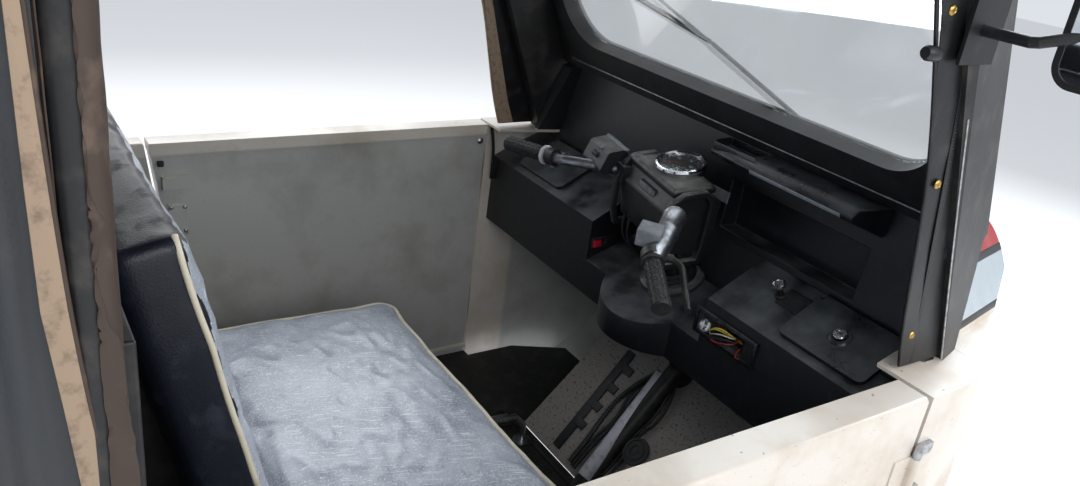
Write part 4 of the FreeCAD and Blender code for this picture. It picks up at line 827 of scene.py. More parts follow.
ease(0.008, "dashboard", segments=4)
ease(0.003, "dash_fascia", "bar_housing", "lamp_housings", "engine_cover", "floor_pan", "partition")
ease(0.004, "front_shell", "windscreen_frame", "door_left", "door_right", "body_side_left", "body_side_right",
     "rear_panel", "passenger_seat_base", "driver_seat_base")
ease(0.0015, "glovebox_lid_left", "glovebox_lid_right", "toe_board", "tail_lamps", "headlamp_lenses",
     "marker_lenses")
print("rounded nodes", sum(1 for n in nodes.values() if n.modifiers))

# %% [markdown]
# Most small parts of the cab start as one of two shapes: an outline extruded through
# its thickness, as pressed or moulded parts are, or an outline spun round an axis, as
# knobs and rings are.

# %% Helpers for outlines and turned parts
def drawn(corners, way, bevel=0.001, segments=2):
    """An outline through these corners, extruded along way, with eased edges."""
    alone(camera)
    bpy.ops.mesh.primitive_circle_add(vertices=len(corners), fill_type="NGON")
    obj = bpy.context.object
    for vertex, corner in zip(obj.data.vertices, corners):
        vertex.co = corner
    choose(obj, lambda f: True)
    bpy.ops.mesh.extrude_region_move(TRANSFORM_OT_translate={"value": way})
    bpy.ops.mesh.select_all(action="SELECT")
    bpy.ops.mesh.normals_make_consistent(inside=False)
    leave()
    if bevel:
        eased(obj, bevel, segments)
    return obj


def mm(text):
    """An outline's corners, written in millimetres as "radius height, radius height"."""
    return [tuple(float(number) / MM for number in pair.split()) for pair in text.split(",")]


def lathed(outline, foot, axis, sides=40, closed=False):
    """An outline of (radius, height) spun round the axis through foot."""
    alone(camera)
    bpy.ops.mesh.primitive_circle_add(vertices=len(outline), fill_type="NOTHING")
    obj = bpy.context.object
    for vertex, (radius, height) in zip(obj.data.vertices, outline):
        vertex.co = (radius, 0, height)
    choose(obj, lambda e: closed or {e.verts[0].index, e.verts[1].index} != {0, len(outline) - 1}, "EDGE")
    bpy.ops.mesh.spin(steps=sides, angle=math.tau, center=(0, 0, 0), axis=(0, 0, 1))
    bpy.ops.mesh.select_all(action="SELECT")
    bpy.ops.mesh.remove_doubles(threshold=0.00001)
    bpy.ops.mesh.delete_loose()
    bpy.ops.mesh.select_all(action="SELECT")
    bpy.ops.mesh.normals_make_consistent(inside=False)
    leave()
    obj.location, obj.rotation_euler = foot, aimed(axis)
    return obj


def plain(name, code, roughness, worn=None):
    """A simple moulded finish with slight wear, for a small coloured part."""
    return rubber_like(name, code, worn or code, 20, roughness, 3)


red_plastic = plain("moulded_red_switch", "#c81f38", 0.35, worn="#a5182c")
grey_plastic = plain("moulded_grey_plastic", "#767b80", 0.5, worn="#9aa0a4")
# pale grey for strips laid along edges: painted highlights
edge_highlight_paint = plain("painted_edge_highlight", "#8f989d", 0.45, worn="#6b7175")
dial_face = plain("printed_dial_face", "#16191d", 0.35, worn="#20242a")
white_print = plain("white_dial_print", "#d9dde0", 0.5)
yellow_wire = plain("yellow_wire_sleeve", "#c9b23a", 0.5, worn="#a08c30")
red_wire = plain("red_wire_sleeve", "#a52a2a", 0.5, worn="#7d2020")
white_wire = plain("white_wire_sleeve", "#cfcdc4", 0.5, worn="#a9a79e")
black_wire = plain("black_cable_sleeve", "#131415", 0.5, worn="#252627")

# %% [markdown]
# Over the deck a long binnacle hangs from the fascia. It is one moulding: a hood with a
# rounded brow and a deep rear face, and at its inner end a shallow tray with a raised
# rim. Its outline is extruded across the cab, cut in two with a bisect, and the tray's
# floor is inset and pushed down.

# %% Binnacle
tray_end, tray_edge, hood_end = -0.029, -0.150, -0.418
back_y, under_z = -0.9385, 1.0665
brow = across_cab(tray_end, ((back_y, 1.1225), (-0.892, 1.1225), (-0.876, 1.1165), (-0.8605, 1.103),
                             (-0.864, 1.094), (-0.9325, under_z)))
binnacle = drawn(brow, (hood_end - tray_end, 0, 0), 0)
choose(binnacle, lambda f: True)
bpy.ops.mesh.bisect(plane_co=(tray_edge, 0, 0), plane_no=(1, 0, 0))
leave()
sunk(binnacle, lambda f: f.normal.z > 0.9 and f.calc_center_median().x > tray_edge, 0.006, (0, 0, -0.019))
for vertex in binnacle.data.vertices:
    if vertex.co.x > tray_end - 0.0005:
        vertex.co.y = back_y + (vertex.co.y - back_y) * 0.72
        vertex.co.z = under_z + (vertex.co.z - under_z) * 0.86
    if vertex.co.x < hood_end + 0.001 and vertex.co.y > -0.88:
        vertex.co.x += 0.022
eased(binnacle, 0.0045, 4, 24)
finished(binnacle, "binnacle_moulding", lid_plastic)
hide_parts("dash_binnacle")
# pale strip under the hood's brow: a painted highlight of its edge
edge_line = across_cab(-0.158, ((-0.8600, 1.1035), (-0.8588, 1.1010), (-0.8622, 1.0955), (-0.8632, 1.0965)))
finished(drawn(edge_line, (-0.215, 0, 0), 0.0003, 1), "binnacle_edge_line", edge_highlight_paint)
holder = slab((-0.037, -0.9290, 1.000), (0.050, 0.003, 0.024), 0.001, (0.1, 0, 0))
sunk(holder, lambda f: f.normal.y > 0.8, 0.0022, (0, -0.0009, 0))
finished(holder, "fascia_card_frame", grey_plastic)
print("binnacle faces", len(binnacle.data.polygons))

# %% [markdown]
# The deck slopes down towards the driver. Small parts on it are placed by how far they
# sit down the slope, and stand square to it.

# %% Deck parts
deck_slope = math.atan2(0.065, 0.129)
deck_down = Vector((0, math.cos(deck_slope), -math.sin(deck_slope)))
deck_off = Vector((0, math.sin(deck_slope), math.cos(deck_slope)))
deck_turn = (-deck_slope, 0, 0)


def on_deck(x, down, lift=0.0):
    return Vector((x, -0.922, 0.925)) + deck_down * down + deck_off * lift


hatch = slab(on_deck(-0.322, 0.050, 0.0015), (0.060, 0.046, 0.003), 0.001, deck_turn)
sunk(hatch, lambda f: facing_up(f, 0.8), 0.003, (0, 0, -0.0008))
finished(hatch, "deck_fuse_cover", black_plastic)
choke = on_deck(-0.291, 0.055)
stem = lathed(mm("0 0, 10.5 0, 10.5 5, 6.5 7, 5.5 12, 5.5 28, 0 28"), choke, deck_off)
finished(stem, "choke_stem", black_plastic)
knob = lathed(mm("0 27, 10.5 27, 12.5 29, 12.8 33, 11.5 35.5, 8.5 36.2, 7.8 35.2, 0 34.9"), choke, deck_off)
finished(knob, "choke_knob", silver_lock)
for tag, side in SIDES:
    foot = Vector((side * 0.443, -0.8606, 0.8957))
    lid = "glovebox_lid_" + tag
    ring_shape = mm("12.5 0.2, 12.5 3, 15 4.2, 19 3, 21.5 0.2")
    barrel_shape = mm("0 0, 11.2 0, 12.4 1, 12.4 3.2, 11.2 4.6, 6.2 4.6, 5.6 3.8, 0 3.8")
    well = lathed(ring_shape, foot + deck_off * 0.0078, deck_off, closed=True)
    finished(well, "lid_lock_ring_" + tag, lid_plastic, lid)
    barrel = lathed(barrel_shape, foot + deck_off * 0.0138, deck_off)
    finished(barrel, "lid_lock_" + tag, silver_lock, lid)
    slit = slab(foot + deck_off * 0.0180, (0.0068, 0.0014, 0.0012), 0.0003, deck_turn, 1)
    finished(slit, "lid_keyhole_" + tag, frame_black, lid)
collar_foot = column_foot + steer_axis * 0.0165
collar_shape = mm("51.5 -4, 51.5 4, 53.5 7.5, 57 8.5, 60.5 7, 63.5 3, 68 1.5, 70 -4")
collar = lathed(collar_shape, collar_foot, steer_axis, 64, closed=True)
finished(collar, "column_ring", dash_plastic)
boot_shape = mm("49 0, 45 6, 46 10, 39 14, 40 18, 33.5 22, 33.5 19, 38 15, 37 11, 44 6, 48 -3")
boot = lathed(boot_shape, collar_foot, steer_axis, 48, closed=True)
finished(boot, "column_gaiter", grip_rubber)

# %% [markdown]
# Two rocker switches sit in one black base on the side of the dashboard's low middle.
# The base is inset and dished, and each rocker is a rounded block tipped a little.

# %% Rocker switches
base = slab((0.1878, -0.826, 0.806), (0.0050, 0.060, 0.026), 0.0015)
sunk(base, lambda f: f.normal.x < -0.8, 0.003, (0.0015, 0, 0))
finished(base, "switch_base", black_plastic)
for name, y, finish, tip in (("horn_rocker", -0.812, red_plastic, 0.16),
                             ("lamp_rocker", -0.840, black_plastic, -0.16)):
    rocker = slab((0.1852, y, 0.806), (0.008, 0.023, 0.017), 0.0018, (0, 0, tip))
    finished(rocker, name, finish)

# %% [markdown]
# The ignition lock has come out of its oblong hole and hangs by its wires, with the key
# still in it. The rim round the hole is a plate with both faces inset and bridged; each
# wire is a round sleeve on a smooth curve.

# %% Ignition lock and its wires
rim = slab((-0.253, -0.7885, 0.812), (0.160, 0.0042, 0.054), 0.0005)
choose(rim, lambda e: abs(span(e).normalized().y) > 0.9 and span(e).length > 0.002, "EDGE")
bpy.ops.mesh.bevel(offset=0.024, segments=8, affect="EDGES")
leave()
pierced(rim, lambda f: abs(f.normal.y) > 0.95 and f.calc_area() > 0.001, 0.0065)
finished(rim, "ignition_hole_rim", lid_plastic)
lock_foot, lock_way = Vector((-0.214, -0.7865, 0.812)), Vector((-0.25, 0.85, 0.46)).normalized()
lock_shape = mm("0 0, 10 0, 10 14, 12.8 15, 13.2 20, 11.8 22.5, 6 22.5, 5.2 21.2, 0 21.2")
lock = lathed(lock_shape, lock_foot, lock_way)
finished(lock, "ignition_lock", silver_lock)
tip = lock_foot + lock_way * 0.0215
key_side = lock_way.cross(UP).normalized()
key_up = key_side.cross(lock_way).normalized()
bow = [tip + lock_way * a + key_up * b for a, b in (
    (0.0, -0.0018), (0.006, -0.0018), (0.008, -0.0075), (0.0145, -0.0100), (0.021, -0.0075), (0.0235, 0.0),
    (0.021, 0.0075), (0.0145, 0.0100), (0.008, 0.0075), (0.006, 0.0018), (0.0, 0.0018))]
key = drawn([p - key_side * 0.0011 for p in bow], key_side * 0.0022, 0.0004, 1)
finished(key, "ignition_key", zinc)
loom = ((yellow_wire, 0.0013, 0.012, 0.010), (yellow_wire, 0.0013, 0.004, 0.016),
        (red_wire, 0.0012, -0.008, -0.010), (white_wire, 0.0012, -0.002, 0.006),
        (black_wire, 0.0014, -0.012, 0.000), (black_wire, 0.0014, 0.006, -0.006))
for count, (finish, radius, shift, rise) in enumerate(loom):
    path = [(-0.280 + count * 0.004, -0.812, 0.806 + count * 0.003),
            (-0.276 + shift, -0.790, 0.815 + rise * 0.4), (-0.262 + shift, -0.772, 0.819 + rise),
            (-0.243 + shift * 0.7, -0.768, 0.812 + rise), (-0.226 + shift * 0.3, -0.777, 0.803 + rise * 0.4),
            (-0.213, -0.788, 0.808 + count * 0.0012)]
    wire("ignition_wire_%d" % (count + 1), path, radius, finish)
stray = [(-0.286, -0.806, 0.802), (-0.290, -0.786, 0.800), (-0.302, -0.776, 0.794), (-0.310, -0.774, 0.800)]
wire("stray_red_wire", stray, 0.0012, red_wire)

# %% [markdown]
# A dark moulded cover closes the foot of the pillar at the end of the dashboard. Its
# outline is extruded along the cab.

# %% Pillar foot
foot_shape = ((-0.541, 0.8905), (-0.572, 0.8905), (-0.604, 0.949), (-0.580, 0.968), (-0.556, 0.955),
              (-0.546, 0.925))
bracket = drawn([(x, -0.842, z) for x, z in foot_shape], (0, -0.030, 0), 0.003, 3)
finished(bracket, "pillar_foot_cover", flap_vinyl)

# %% [markdown]
# The handlebar is dressed while it points straight ahead and is then turned to where it is parked. The middle
# wears a housing that is pale on top with dust and painted sky light, with a shroud that arches over the near
# tube; beside it stands a wedge-shaped switch pod whose pale ridge is a painted highlight along its edge.

# %% Handlebar housing
clamp_y = -0.8115
cap = slab((0, clamp_y - 0.006, 1.0415), (0.176, 0.098, 0.016), 0.006, (-0.09, 0, 0), 4)
sunk(cap, facing_up, 0.005, (0, 0, 0.0014))
steered(cap, "housing_cap", pod_plastic)
for tag, side in SIDES:
    outer = [(side * 0.0915, clamp_y + y, z) for y, z in (
        (-0.042, 0.893), (-0.047, 0.930), (-0.047, 1.016), (-0.041, 1.038), (-0.022, 1.0515), (0.026, 1.045),
        (0.050, 1.028), (0.064, 0.994), (0.060, 0.925), (0.046, 0.884))]
    shroud = drawn(outer, (side * 0.015, 0, 0), 0)
    pierced(shroud, lambda f: abs(f.normal.x) > 0.95, 0.0115)
    eased(shroud, 0.0022, 3)
    steered(shroud, "housing_shroud_" + tag, pod_plastic)
# pale ridge on the switch pod: a painted highlight of its edge
ridge_shape = ((0.0335, 1.0475), (0.0415, 1.0500), (0.0455, 1.0460), (0.0380, 1.0440))
ridge = drawn([(0.110, clamp_y + y, z) for y, z in ridge_shape], (0.088, 0, 0), 0.0008)
steered(ridge, "switch_pod_ridge", edge_highlight_paint)
for count, (y, z) in enumerate(((0.080, 1.0385), (0.088, 1.0225))):
    button = slab((0.154, clamp_y + y - 0.0005, z), (0.022, 0.010, 0.009), 0.002, (-0.45, 0, 0))
    steered(button, "pod_button_%d" % (count + 1), black_plastic if count else grey_plastic)
clip = slab((0.078, clamp_y + 0.030, 1.0445), (0.034, 0.022, 0.008), 0.0018, (-0.30, 0, 0))
sunk(clip, lambda f: facing_up(f, 0.7), 0.0035, (0, 0, -0.0015))
steered(clip, "housing_clip", grey_plastic)

# %% [markdown]
# The speedometer is a printed face under glass in a chromed ring. The ticks and numbers
# are real thin pieces, joined into one print, because lettering on a dial is generic.

# %% Speedometer
dial_way = Vector((0, 0.20, 0.98)).normalized()
dial = Vector((0, clamp_y - 0.022, 1.055))
dial_right = Vector((-1, 0, 0))
dial_up = dial_way.cross(dial_right).normalized()
face = lathed(mm("0 0, 44.5 0, 44.5 1.6, 0 1.6"), dial + dial_way * 0.0072, dial_way, 48)
steered(face, "speedometer_face", dial_face)
bezel_shape = mm("42.5 9, 43 13, 46.5 15.8, 50.5 15, 52 11, 50.5 7, 45.5 8.5")
bezel = lathed(bezel_shape, dial, dial_way, 64, closed=True)
steered(bezel, "speedometer_bezel", chrome)
cover_glass = lathed(mm("0 14.8, 20 14.3, 36 12.8, 43 11.2, 43 10, 0 13"), dial, dial_way, 48)
steered(cover_glass, "speedometer_glass", glass)


def on_dial(turn, radius, lift=0.0092):
    """A place on the face, turned clockwise from its lower left by turn degrees."""
    angle = math.radians(225 - turn)
    flat = dial_right * (radius * math.cos(angle)) + dial_up * (radius * math.sin(angle))
    return dial + dial_way * lift + flat


prints = []
sweep, ticks, top_speed = 270, 16, 80
dial_turn = Matrix((dial_right, dial_up, dial_way)).transposed().to_euler()
for step in range(ticks + 1):
    turn = step * sweep / ticks
    start, end = on_dial(turn, 0.0335 if step % 2 else 0.0310), on_dial(turn, 0.0380)
    tick = slab((start + end) / 2, (0.0009, 0.0005, (end - start).length), 0.0001, aimed(end - start), 1)
    settle(tick)
    prints.append(tick)
for number in range(0, top_speed + 1, 20):
    alone(camera)
    bpy.ops.object.text_add(location=on_dial(number * sweep / top_speed, 0.0235, 0.0089))
    text = bpy.context.object
    text.data.body, text.data.size, text.data.extrude = str(number), 0.0085, 0.0002
    text.data.align_x, text.data.align_y = "CENTER", "CENTER"
    text.data.resolution_u = 3
    text.rotation_euler = dial_turn
    bpy.ops.object.convert(target="MESH")
    settle(text)
    prints.append(text)
joined(prints, "dial_print", white_print, "steering", parked)
needle_way = aimed(on_dial(0, 0.02) - on_dial(0, 0.0))
needle = slab(on_dial(0, 0.013, 0.0100), (0.0014, 0.0007, 0.034), 0.0002, needle_way, 1)
steered(needle, "speedometer_needle", red_plastic)
print("dial pieces", len(prints))

# %% [markdown]
# On the near side a thick plated sleeve turns on the tube to change gear, and its grip is
# moulded rubber with a pattern of raised bricks. The bricks are the faces of a spun tube,
# inset one by one and pushed out, with every other ring turned by half a brick.

# %% Sleeve and grips
def grip_line(side):
    """The inner and outer end of a grip, with the handlebar straight."""
    return Vector((side * 0.236, clamp_y + 0.158, 0.984)), Vector((side * 0.352, clamp_y + 0.201, 0.965))


for tag, side in SIDES:
    inner, outer = grip_line(side)
    way, length = (outer - inner).normalized(), (outer - inner).length
    rings, around = 15, 14
    tube = [(0.0162, 0.006 + (length - 0.008) * k / rings) for k in range(rings + 1)]
    grip = lathed(mm("11.8 6") + tube + [(0.0140, length + 0.001), (0, length + 0.001)], inner, way, around)
    settle(grip)
    turned_out = way.to_track_quat("Z", "Y")
    for vertex in grip.data.vertices:
        local = turned_out.inverted() @ (vertex.co - inner)
        row = round((local.z - 0.006) / ((length - 0.008) / rings))
        if 0 < local.z < length and row % 2 and local.xy.length > 0.015:
            spun = Matrix.Rotation(math.pi / around, 3, "Z") @ local
            vertex.co = inner + turned_out @ spun
    choose(grip, lambda f: abs(f.normal.dot(way)) < 0.3)
    bpy.ops.mesh.inset(thickness=0.0007, use_individual=True)
    bpy.ops.transform.shrink_fatten(value=0.0011)
    leave()
    steered(grip, "grip_" + tag, grip_rubber, smooth=25)
    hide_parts("grips")
    flange = lathed(mm("11.8 0, 19 0, 21.2 2, 21.2 5, 19 7, 11.8 7"), inner, way, 32, closed=True)
    steered(flange, "grip_flange_" + tag, grip_rubber if side < 0 else pale_tube)
elbow = Vector((-0.096, clamp_y + 0.030, 1.007))
inner, outer = grip_line(-1)
run = inner - elbow
sleeve_way, sleeve_end = run.normalized(), run.length * 0.88
sleeve_shape = mm("12.5 0, 22.5 0, 23.5 4, 22.5 8, 21.5 10, 21.5 60, 22.8 63, 22.8 70, 20.5 74")
sleeve_shape += [(0.0190, sleeve_end - 0.012), (0.0180, sleeve_end), (0.0125, sleeve_end)]
sleeve = lathed(sleeve_shape, elbow + run * 0.10, sleeve_way, 40, closed=True)
steered(sleeve, "gear_change_sleeve", worn_tube)
block = slab(elbow + run * 0.62 + Vector((0.006, 0.026, 0.012)), (0.044, 0.034, 0.040), 0.003,
             aimed(sleeve_way))
sunk(block, lambda f: f.calc_area() > 0.0008 and facing_up(f, 0.5), 0.003, (0, 0, -0.0008))
steered(block, "gear_selector_block", grey_plastic)
for count, (x, drop) in enumerate(((-0.040, -0.030), (0.030, -0.018), (0.050, -0.026))):
    wire("column_cable_%d" % (count + 1),
         [(x, clamp_y + 0.050, 0.935), (x * 1.1, clamp_y + 0.052, 0.890), (x * 0.9, clamp_y + 0.020, 0.850),
          (x * 0.7, clamp_y + drop, 0.822)], 0.0032, black_wire, "steering", parked, sides=8)

# %% [markdown]
# A vinyl curtain strip hangs along the rear edge of each windscreen pillar. It is a flat
# sheet with slow waves, brass snaps, and a zip. The sheet is a grid pulled between two
# lines in edit order, then thickened; the zip's teeth are one block repeated by an array.

# %% Pillar curtains
top_z, low_z, curtain_x = 1.560, 0.957, 0.603
flap_lines = [(top_z, -0.568, -0.640), (1.484, -0.612, -0.667), (1.257, -0.700, -0.760),
              (1.013, -0.757, -0.858), (low_z, -0.778, -0.884)]


def flap_spot(z, across):
    """A place on the strip at that height, from 0 at its free edge to 1 at the pillar."""
    for (high, free_a, held_a), (low, free_b, held_b) in zip(flap_lines, flap_lines[1:]):
        if z >= low or low == flap_lines[-1][0]:
            part = (high - z) / (high - low)
            free = free_a + (free_b - free_a) * part
            return free + (held_a + (held_b - held_a) * part - free) * across
    return 0.0


def repeat(obj, count, shift):
    """A row of this many copies in one mesh."""
    settle(obj)
    modify(obj, "ARRAY", count=count, use_relative_offset=False, use_constant_offset=True,
           constant_offset_displace=shift)


def cut_sheet(obj, thickness, name, finish, smooth):
    """Give a flat grid its thickness and finish it; the area is measured before."""
    area = sum(f.area for f in obj.data.polygons)
    modify(obj, "SOLIDIFY", thickness=thickness, offset=0.0)
    finished(obj, name, finish, smooth=smooth)
    return area


def placed_grid(across_count, up_count, place):
    """A grid whose corners come from place(u, v), both from 0 to 1."""
    alone(camera)
    bpy.ops.mesh.primitive_grid_add(x_subdivisions=across_count, y_subdivisions=up_count, size=2)
    obj = bpy.context.object
    for vertex in obj.data.vertices:
        vertex.co = place((vertex.co.x + 1) / 2, (vertex.co.y + 1) / 2)
    return obj


for tag, side in SIDES:

    def flap_place(u, v, side=side):
        z = low_z + (top_z - low_z) * v
        wave = 0.0022 * math.sin(v * 9 + u * 2) * (1 - u)
        wave += 0.0008 * noise.noise(Vector((u * 3, v * 14, side)))
        return Vector((side * (curtain_x + wave), flap_spot(z, u) + (0.003 if u > 0.99 else 0), z))

    flap = placed_grid(8, 60, flap_place)
    flap_area = cut_sheet(flap, 0.0014, "pillar_curtain_" + tag, flap_vinyl, 60)
    edge_points = [(side * curtain_x, flap_spot(z, 0.0), z) for z in (1.558, 1.40, 1.257, 1.13, 1.013, 0.959)]
    # the far curtain's edge is tan as painted sunlight; the near one keeps the black vinyl
    edge = wire("curtain_edge_" + tag, edge_points, 0.0028, flap_vinyl if side < 0 else sunlit_tan_paint)
    for count, (y, z) in enumerate(((-0.633, 1.484), (-0.719, 1.257), (-0.779, 1.013))):
        snap = lathed(mm("0 0, 6.2 0, 6.6 0.8, 5.8 2.2, 3.8 3, 3 2.4, 0 2.4"), (side * 0.6045, y, z),
                      (side, 0, 0), 24)
        finished(snap, "curtain_snap_%s_%d" % (tag, count + 1), brass)
    zip_top, zip_low = Vector((side * 0.6046, -0.675, 1.530)), Vector((side * 0.6046, -0.806, 0.962))
    run = zip_low - zip_top
    tape = slab((zip_top + zip_low) / 2, (0.0012, 0.011, run.length), 0.0004, aimed(run), 1)
    finished(tape, "curtain_zip_tape_" + tag, flap_vinyl)
    tooth = slab(zip_top, (0.0022, 0.0060, 0.0022), 0.0005, aimed(run), 1)
    repeat(tooth, int(run.length / 0.0046), run.normalized() * 0.0046)
    finished(tooth, "curtain_zip_teeth_" + tag, black_plastic)
    trim_line = across_cab(side * 0.6125, ((-0.727, 1.349), (-0.800, 1.141), (-0.872, 0.955)))
    wire("pillar_trim_" + tag, trim_line, 0.0016, zinc)
peg = lathed(mm("0 0, 8 0, 9.5 4, 9.5 20, 7 25, 0 26"), (-0.606, -0.627, 1.432), (0, 0.98, 0.1), 24)
finished(peg, "curtain_peg", black_plastic)

# %% [markdown]
# The wiper lies on the outside of the windscreen. Its parts are placed by how far they
# are up the glass, because the glass leans back.

# %% Wiper
glass_lean = math.radians(22)
glass_out = Vector((0, -math.cos(glass_lean), math.sin(glass_lean)))


def on_screen(x, up, off):
    """A place x across, up the slope and off the windscreen's outer face."""
    up_glass = Vector((0, math.sin(glass_lean), math.cos(glass_lean)))
    return Vector((x, -0.9495, 1.160)) + up_glass * up + glass_out * off


def bar_between(start, end, wide, thick, bevel):
    """A flat bar from start to end that lies along the glass."""
    way = end - start
    turn = Matrix((glass_out.cross(way).normalized(), glass_out, way.normalized())).transposed().to_euler()
    return slab((start + end) / 2, (wide, thick, way.length), bevel, turn, 2)


spindle_foot = on_screen(-0.245, 0.002, 0.0003)
spindle = lathed(mm("0 0, 13 0, 13 10, 10 15, 10 21, 7 24, 0 24.5"), spindle_foot, glass_out, 28)
finished(spindle, "wiper_spindle", black_plastic)
for name, finish, start, end, wide, thick, bevel in (
        ("wiper_arm_1", frame_black, (-0.245, 0.002, 0.020), (0.060, 0.130, 0.017), 0.010, 0.004, 0.0008),
        ("wiper_arm_2", frame_black, (0.060, 0.130, 0.017), (0.255, 0.206, 0.017), 0.007, 0.003, 0.0008),
        ("wiper_carrier", frame_black, (0.120, 0.150, 0.0125), (0.400, 0.205, 0.0125), 0.0085, 0.004, 0.0008),
        ("wiper_rubber", seal_rubber, (0.050, 0.136, 0.0085), (0.560, 0.234, 0.0085), 0.0035, 0.006, 0.0005),
        ("wiper_spring_strip", frame_black, (0.055, 0.138, 0.0115), (0.555, 0.234, 0.0115), 0.007, 0.0022,
         0.0005)):
    finished(bar_between(on_screen(*start), on_screen(*end), wide, thick, bevel), name, finish)
print("wiper from", tuple(round(v, 3) for v in spindle_foot))

# %% [markdown]
# Each half door closes on a rubber buffer. A latch plate in the body's enamel is screwed to its inner face, and
# a slotted bracket beside it takes the bolt.

# %% Door fittings
def plate_with_screws(name, centre, size, screws, finish, body, side):
    """A pressed plate on a side wall, its rim eased, with round screw heads."""
    plate = slab(centre, size, 0.0008)
    sunk(plate, lambda f: f.normal.x * side < -0.8, 0.003, (-side * 0.0006, 0, 0))
    finished(plate, name, finish, body)
    for count, (y, z) in enumerate(screws):
        head = lathed(mm("0 0, 4.5 0, 4.8 1, 3.5 2.5, 1.2 3, 0 2.4"),
                      (centre[0] - side * size[0] / 2, y, z), (-side, 0, 0), 16)
        finished(head, "%s_screw_%d" % (name, count + 1), zinc, body)


for tag, side in SIDES:
    door = "door_" + tag
    plate_with_screws("latch_plate_" + tag, (side * 0.6235, -0.012, 0.776), (0.0028, 0.040, 0.074),
                      ((-0.026, 0.804), (-0.026, 0.748), (0.002, 0.804), (0.002, 0.748)), enamel, door, side)
    plate_with_screws("strike_bracket_" + tag, (side * 0.6235, 0.036, 0.778), (0.0028, 0.022, 0.064),
                      ((0.036, 0.801), (0.036, 0.755)), zinc, "body", side)
    hook = drawn(across_cab(side * 0.6220, ((0.040, 0.790), (0.010, 0.790), (0.010, 0.784), (0.030, 0.784),
                                            (0.030, 0.772), (0.010, 0.772), (0.010, 0.766), (0.040, 0.766))),
                 (-side * 0.006, 0, 0), 0.001)
    finished(hook, "strike_hook_" + tag, zinc)
    buffer = slab((side * 0.6215, 0.019, 0.905), (0.0068, 0.013, 0.013), 0.003)
    finished(buffer, "door_buffer_" + tag, seal_rubber, door)
    bolt = lathed(mm("0 0, 7.5 0, 7.8 2, 5 4.5, 0 5"), (side * 0.6248, -0.742, 0.906), (-side, 0, 0), 20)
    finished(bolt, "door_bolt_" + tag, zinc, door)
    strap = ((0.6235, -0.772, 0.940), (0.6205, -0.780, 0.900), (0.6215, -0.784, 0.850), (0.6235, -0.786, 0.800))
    wire("cowl_strap_" + tag, [(side * x, y, z) for x, y, z in strap], 0.004, seal_rubber)
print("door fittings on both sides")

# %% [markdown]
# The front roof post is wrapped in brown sheeting that has cracked and torn, with a tan edging strip beside it;
# its tan is a painted highlight of the post's rounded face. The wrap is a grid bent round the post with a
# ragged free edge, moved by noise, so it looks slack and torn without a texture.

# %% Post wrap and edging
torn_edge = ((1.60, 0.002), (1.36, 0.002), (1.345, 0.009), (1.31, 0.001), (1.27, 0.007), (1.25, 0.014),
             (1.20, 0.015), (1.15, 0.019), (1.11, 0.018), (1.05, 0.012), (0.955, 0.016))


def ragged(height, seed):
    """How far the torn edge reaches past the post at this height, in metres."""
    frayed = 0.0018 * noise.noise(Vector((height * 60, seed + 7, 0)))
    for (high, far_a), (low, far_b) in zip(torn_edge, torn_edge[1:]):
        if height >= low:
            return max(0.0005, far_a + (far_b - far_a) * (high - height) / (high - low) + frayed)
    return torn_edge[-1][1]


for tag, side in SIDES:
    post_at = Vector((side * 0.637, 0.300, 0))
    turn_start, turn_all = math.radians(60), math.radians(296)

    def wrap_place(u, v, side=side, post_at=post_at):
        z = 0.958 + 0.630 * v
        loose = 0.0012 + 0.0016 * abs(noise.noise(Vector((u * 4, v * 9, side * 3))))
        free = ragged(z, side * 2.0 + 4)
        radius = 0.0165 + loose
        along = u * (radius * turn_all + free)
        if along < radius * turn_all:
            angle = turn_start + along / radius
            return Vector((post_at.x - side * radius * math.cos(angle + math.pi),
                           post_at.y + radius * math.sin(angle), z))
        angle = turn_start + turn_all
        edge = Vector((-side * math.cos(angle + math.pi), math.sin(angle), 0))
        over = along - radius * turn_all
        way = Vector((side * 0.25, -1.0, 0)).normalized()
        curl = 0.004 * noise.noise(Vector((u * 3, v * 16, 2))) * over / 0.02
        return post_at + edge * radius + way * over + Vector((-side * curl, 0, z))

    wrap = placed_grid(30, 150, wrap_place)
    wrap_area = cut_sheet(wrap, 0.0012, "post_wrap_" + tag, brown_wrap, 70)
    strip_edges = ((1.583, 0.334, 0.325), (1.481, 0.332, 0.323), (1.370, 0.332, 0.319), (1.283, 0.331, 0.315),
                   (1.209, 0.324, 0.309), (1.137, 0.318, 0.301), (0.957, 0.312, 0.296))
    outline = ([(side * 0.6495, rear, z) for z, rear, fore in strip_edges]
               + [(side * 0.6495, fore, z) for z, rear, fore in reversed(strip_edges)])
    edging = drawn(outline, (side * 0.0022, 0, 0), 0.0006, 2)
    # the edging's tan is a painted highlight of the rounded post
    finished(edging, "curtain_edging_" + tag, sunlit_tan_paint)
    bead = wire("edging_bead_" + tag, [(side * 0.6505, fore - 0.001, z) for z, rear, fore in strip_edges],
                0.0018, brown_wrap)

    def gathered(u, v, side=side):
        z = 0.955 + 0.640 * v
        fold = 0.0045 * math.sin(u * 17 + 0.6 * math.sin(v * 3)) * (0.25 + 0.75 * u) + 0.0015 * noise.noise(
            Vector((u * 3, v * 7, side)))
        rear = 0.405 - 0.018 * math.sin(math.pi * v)
        fore = 0.318 if z > 1.283 else 0.318 - (1.283 - z) * 0.055
        return Vector((side * (0.6455 + min(0.0025, fold)), fore + (rear - fore) * u, z))

    bundle = placed_grid(44, 60, gathered)
    bundle_area = cut_sheet(bundle, 0.0012, "side_curtain_" + tag, slate_vinyl, 70)
print("wrap area", round(wrap_area, 4))

# %% [markdown]
# Under the dashboard the toe board slopes up to the front. A black strip runs along its
# left part, a pale tube with cables beside it comes down the middle, and a ribbed
# mat lies on the floor.

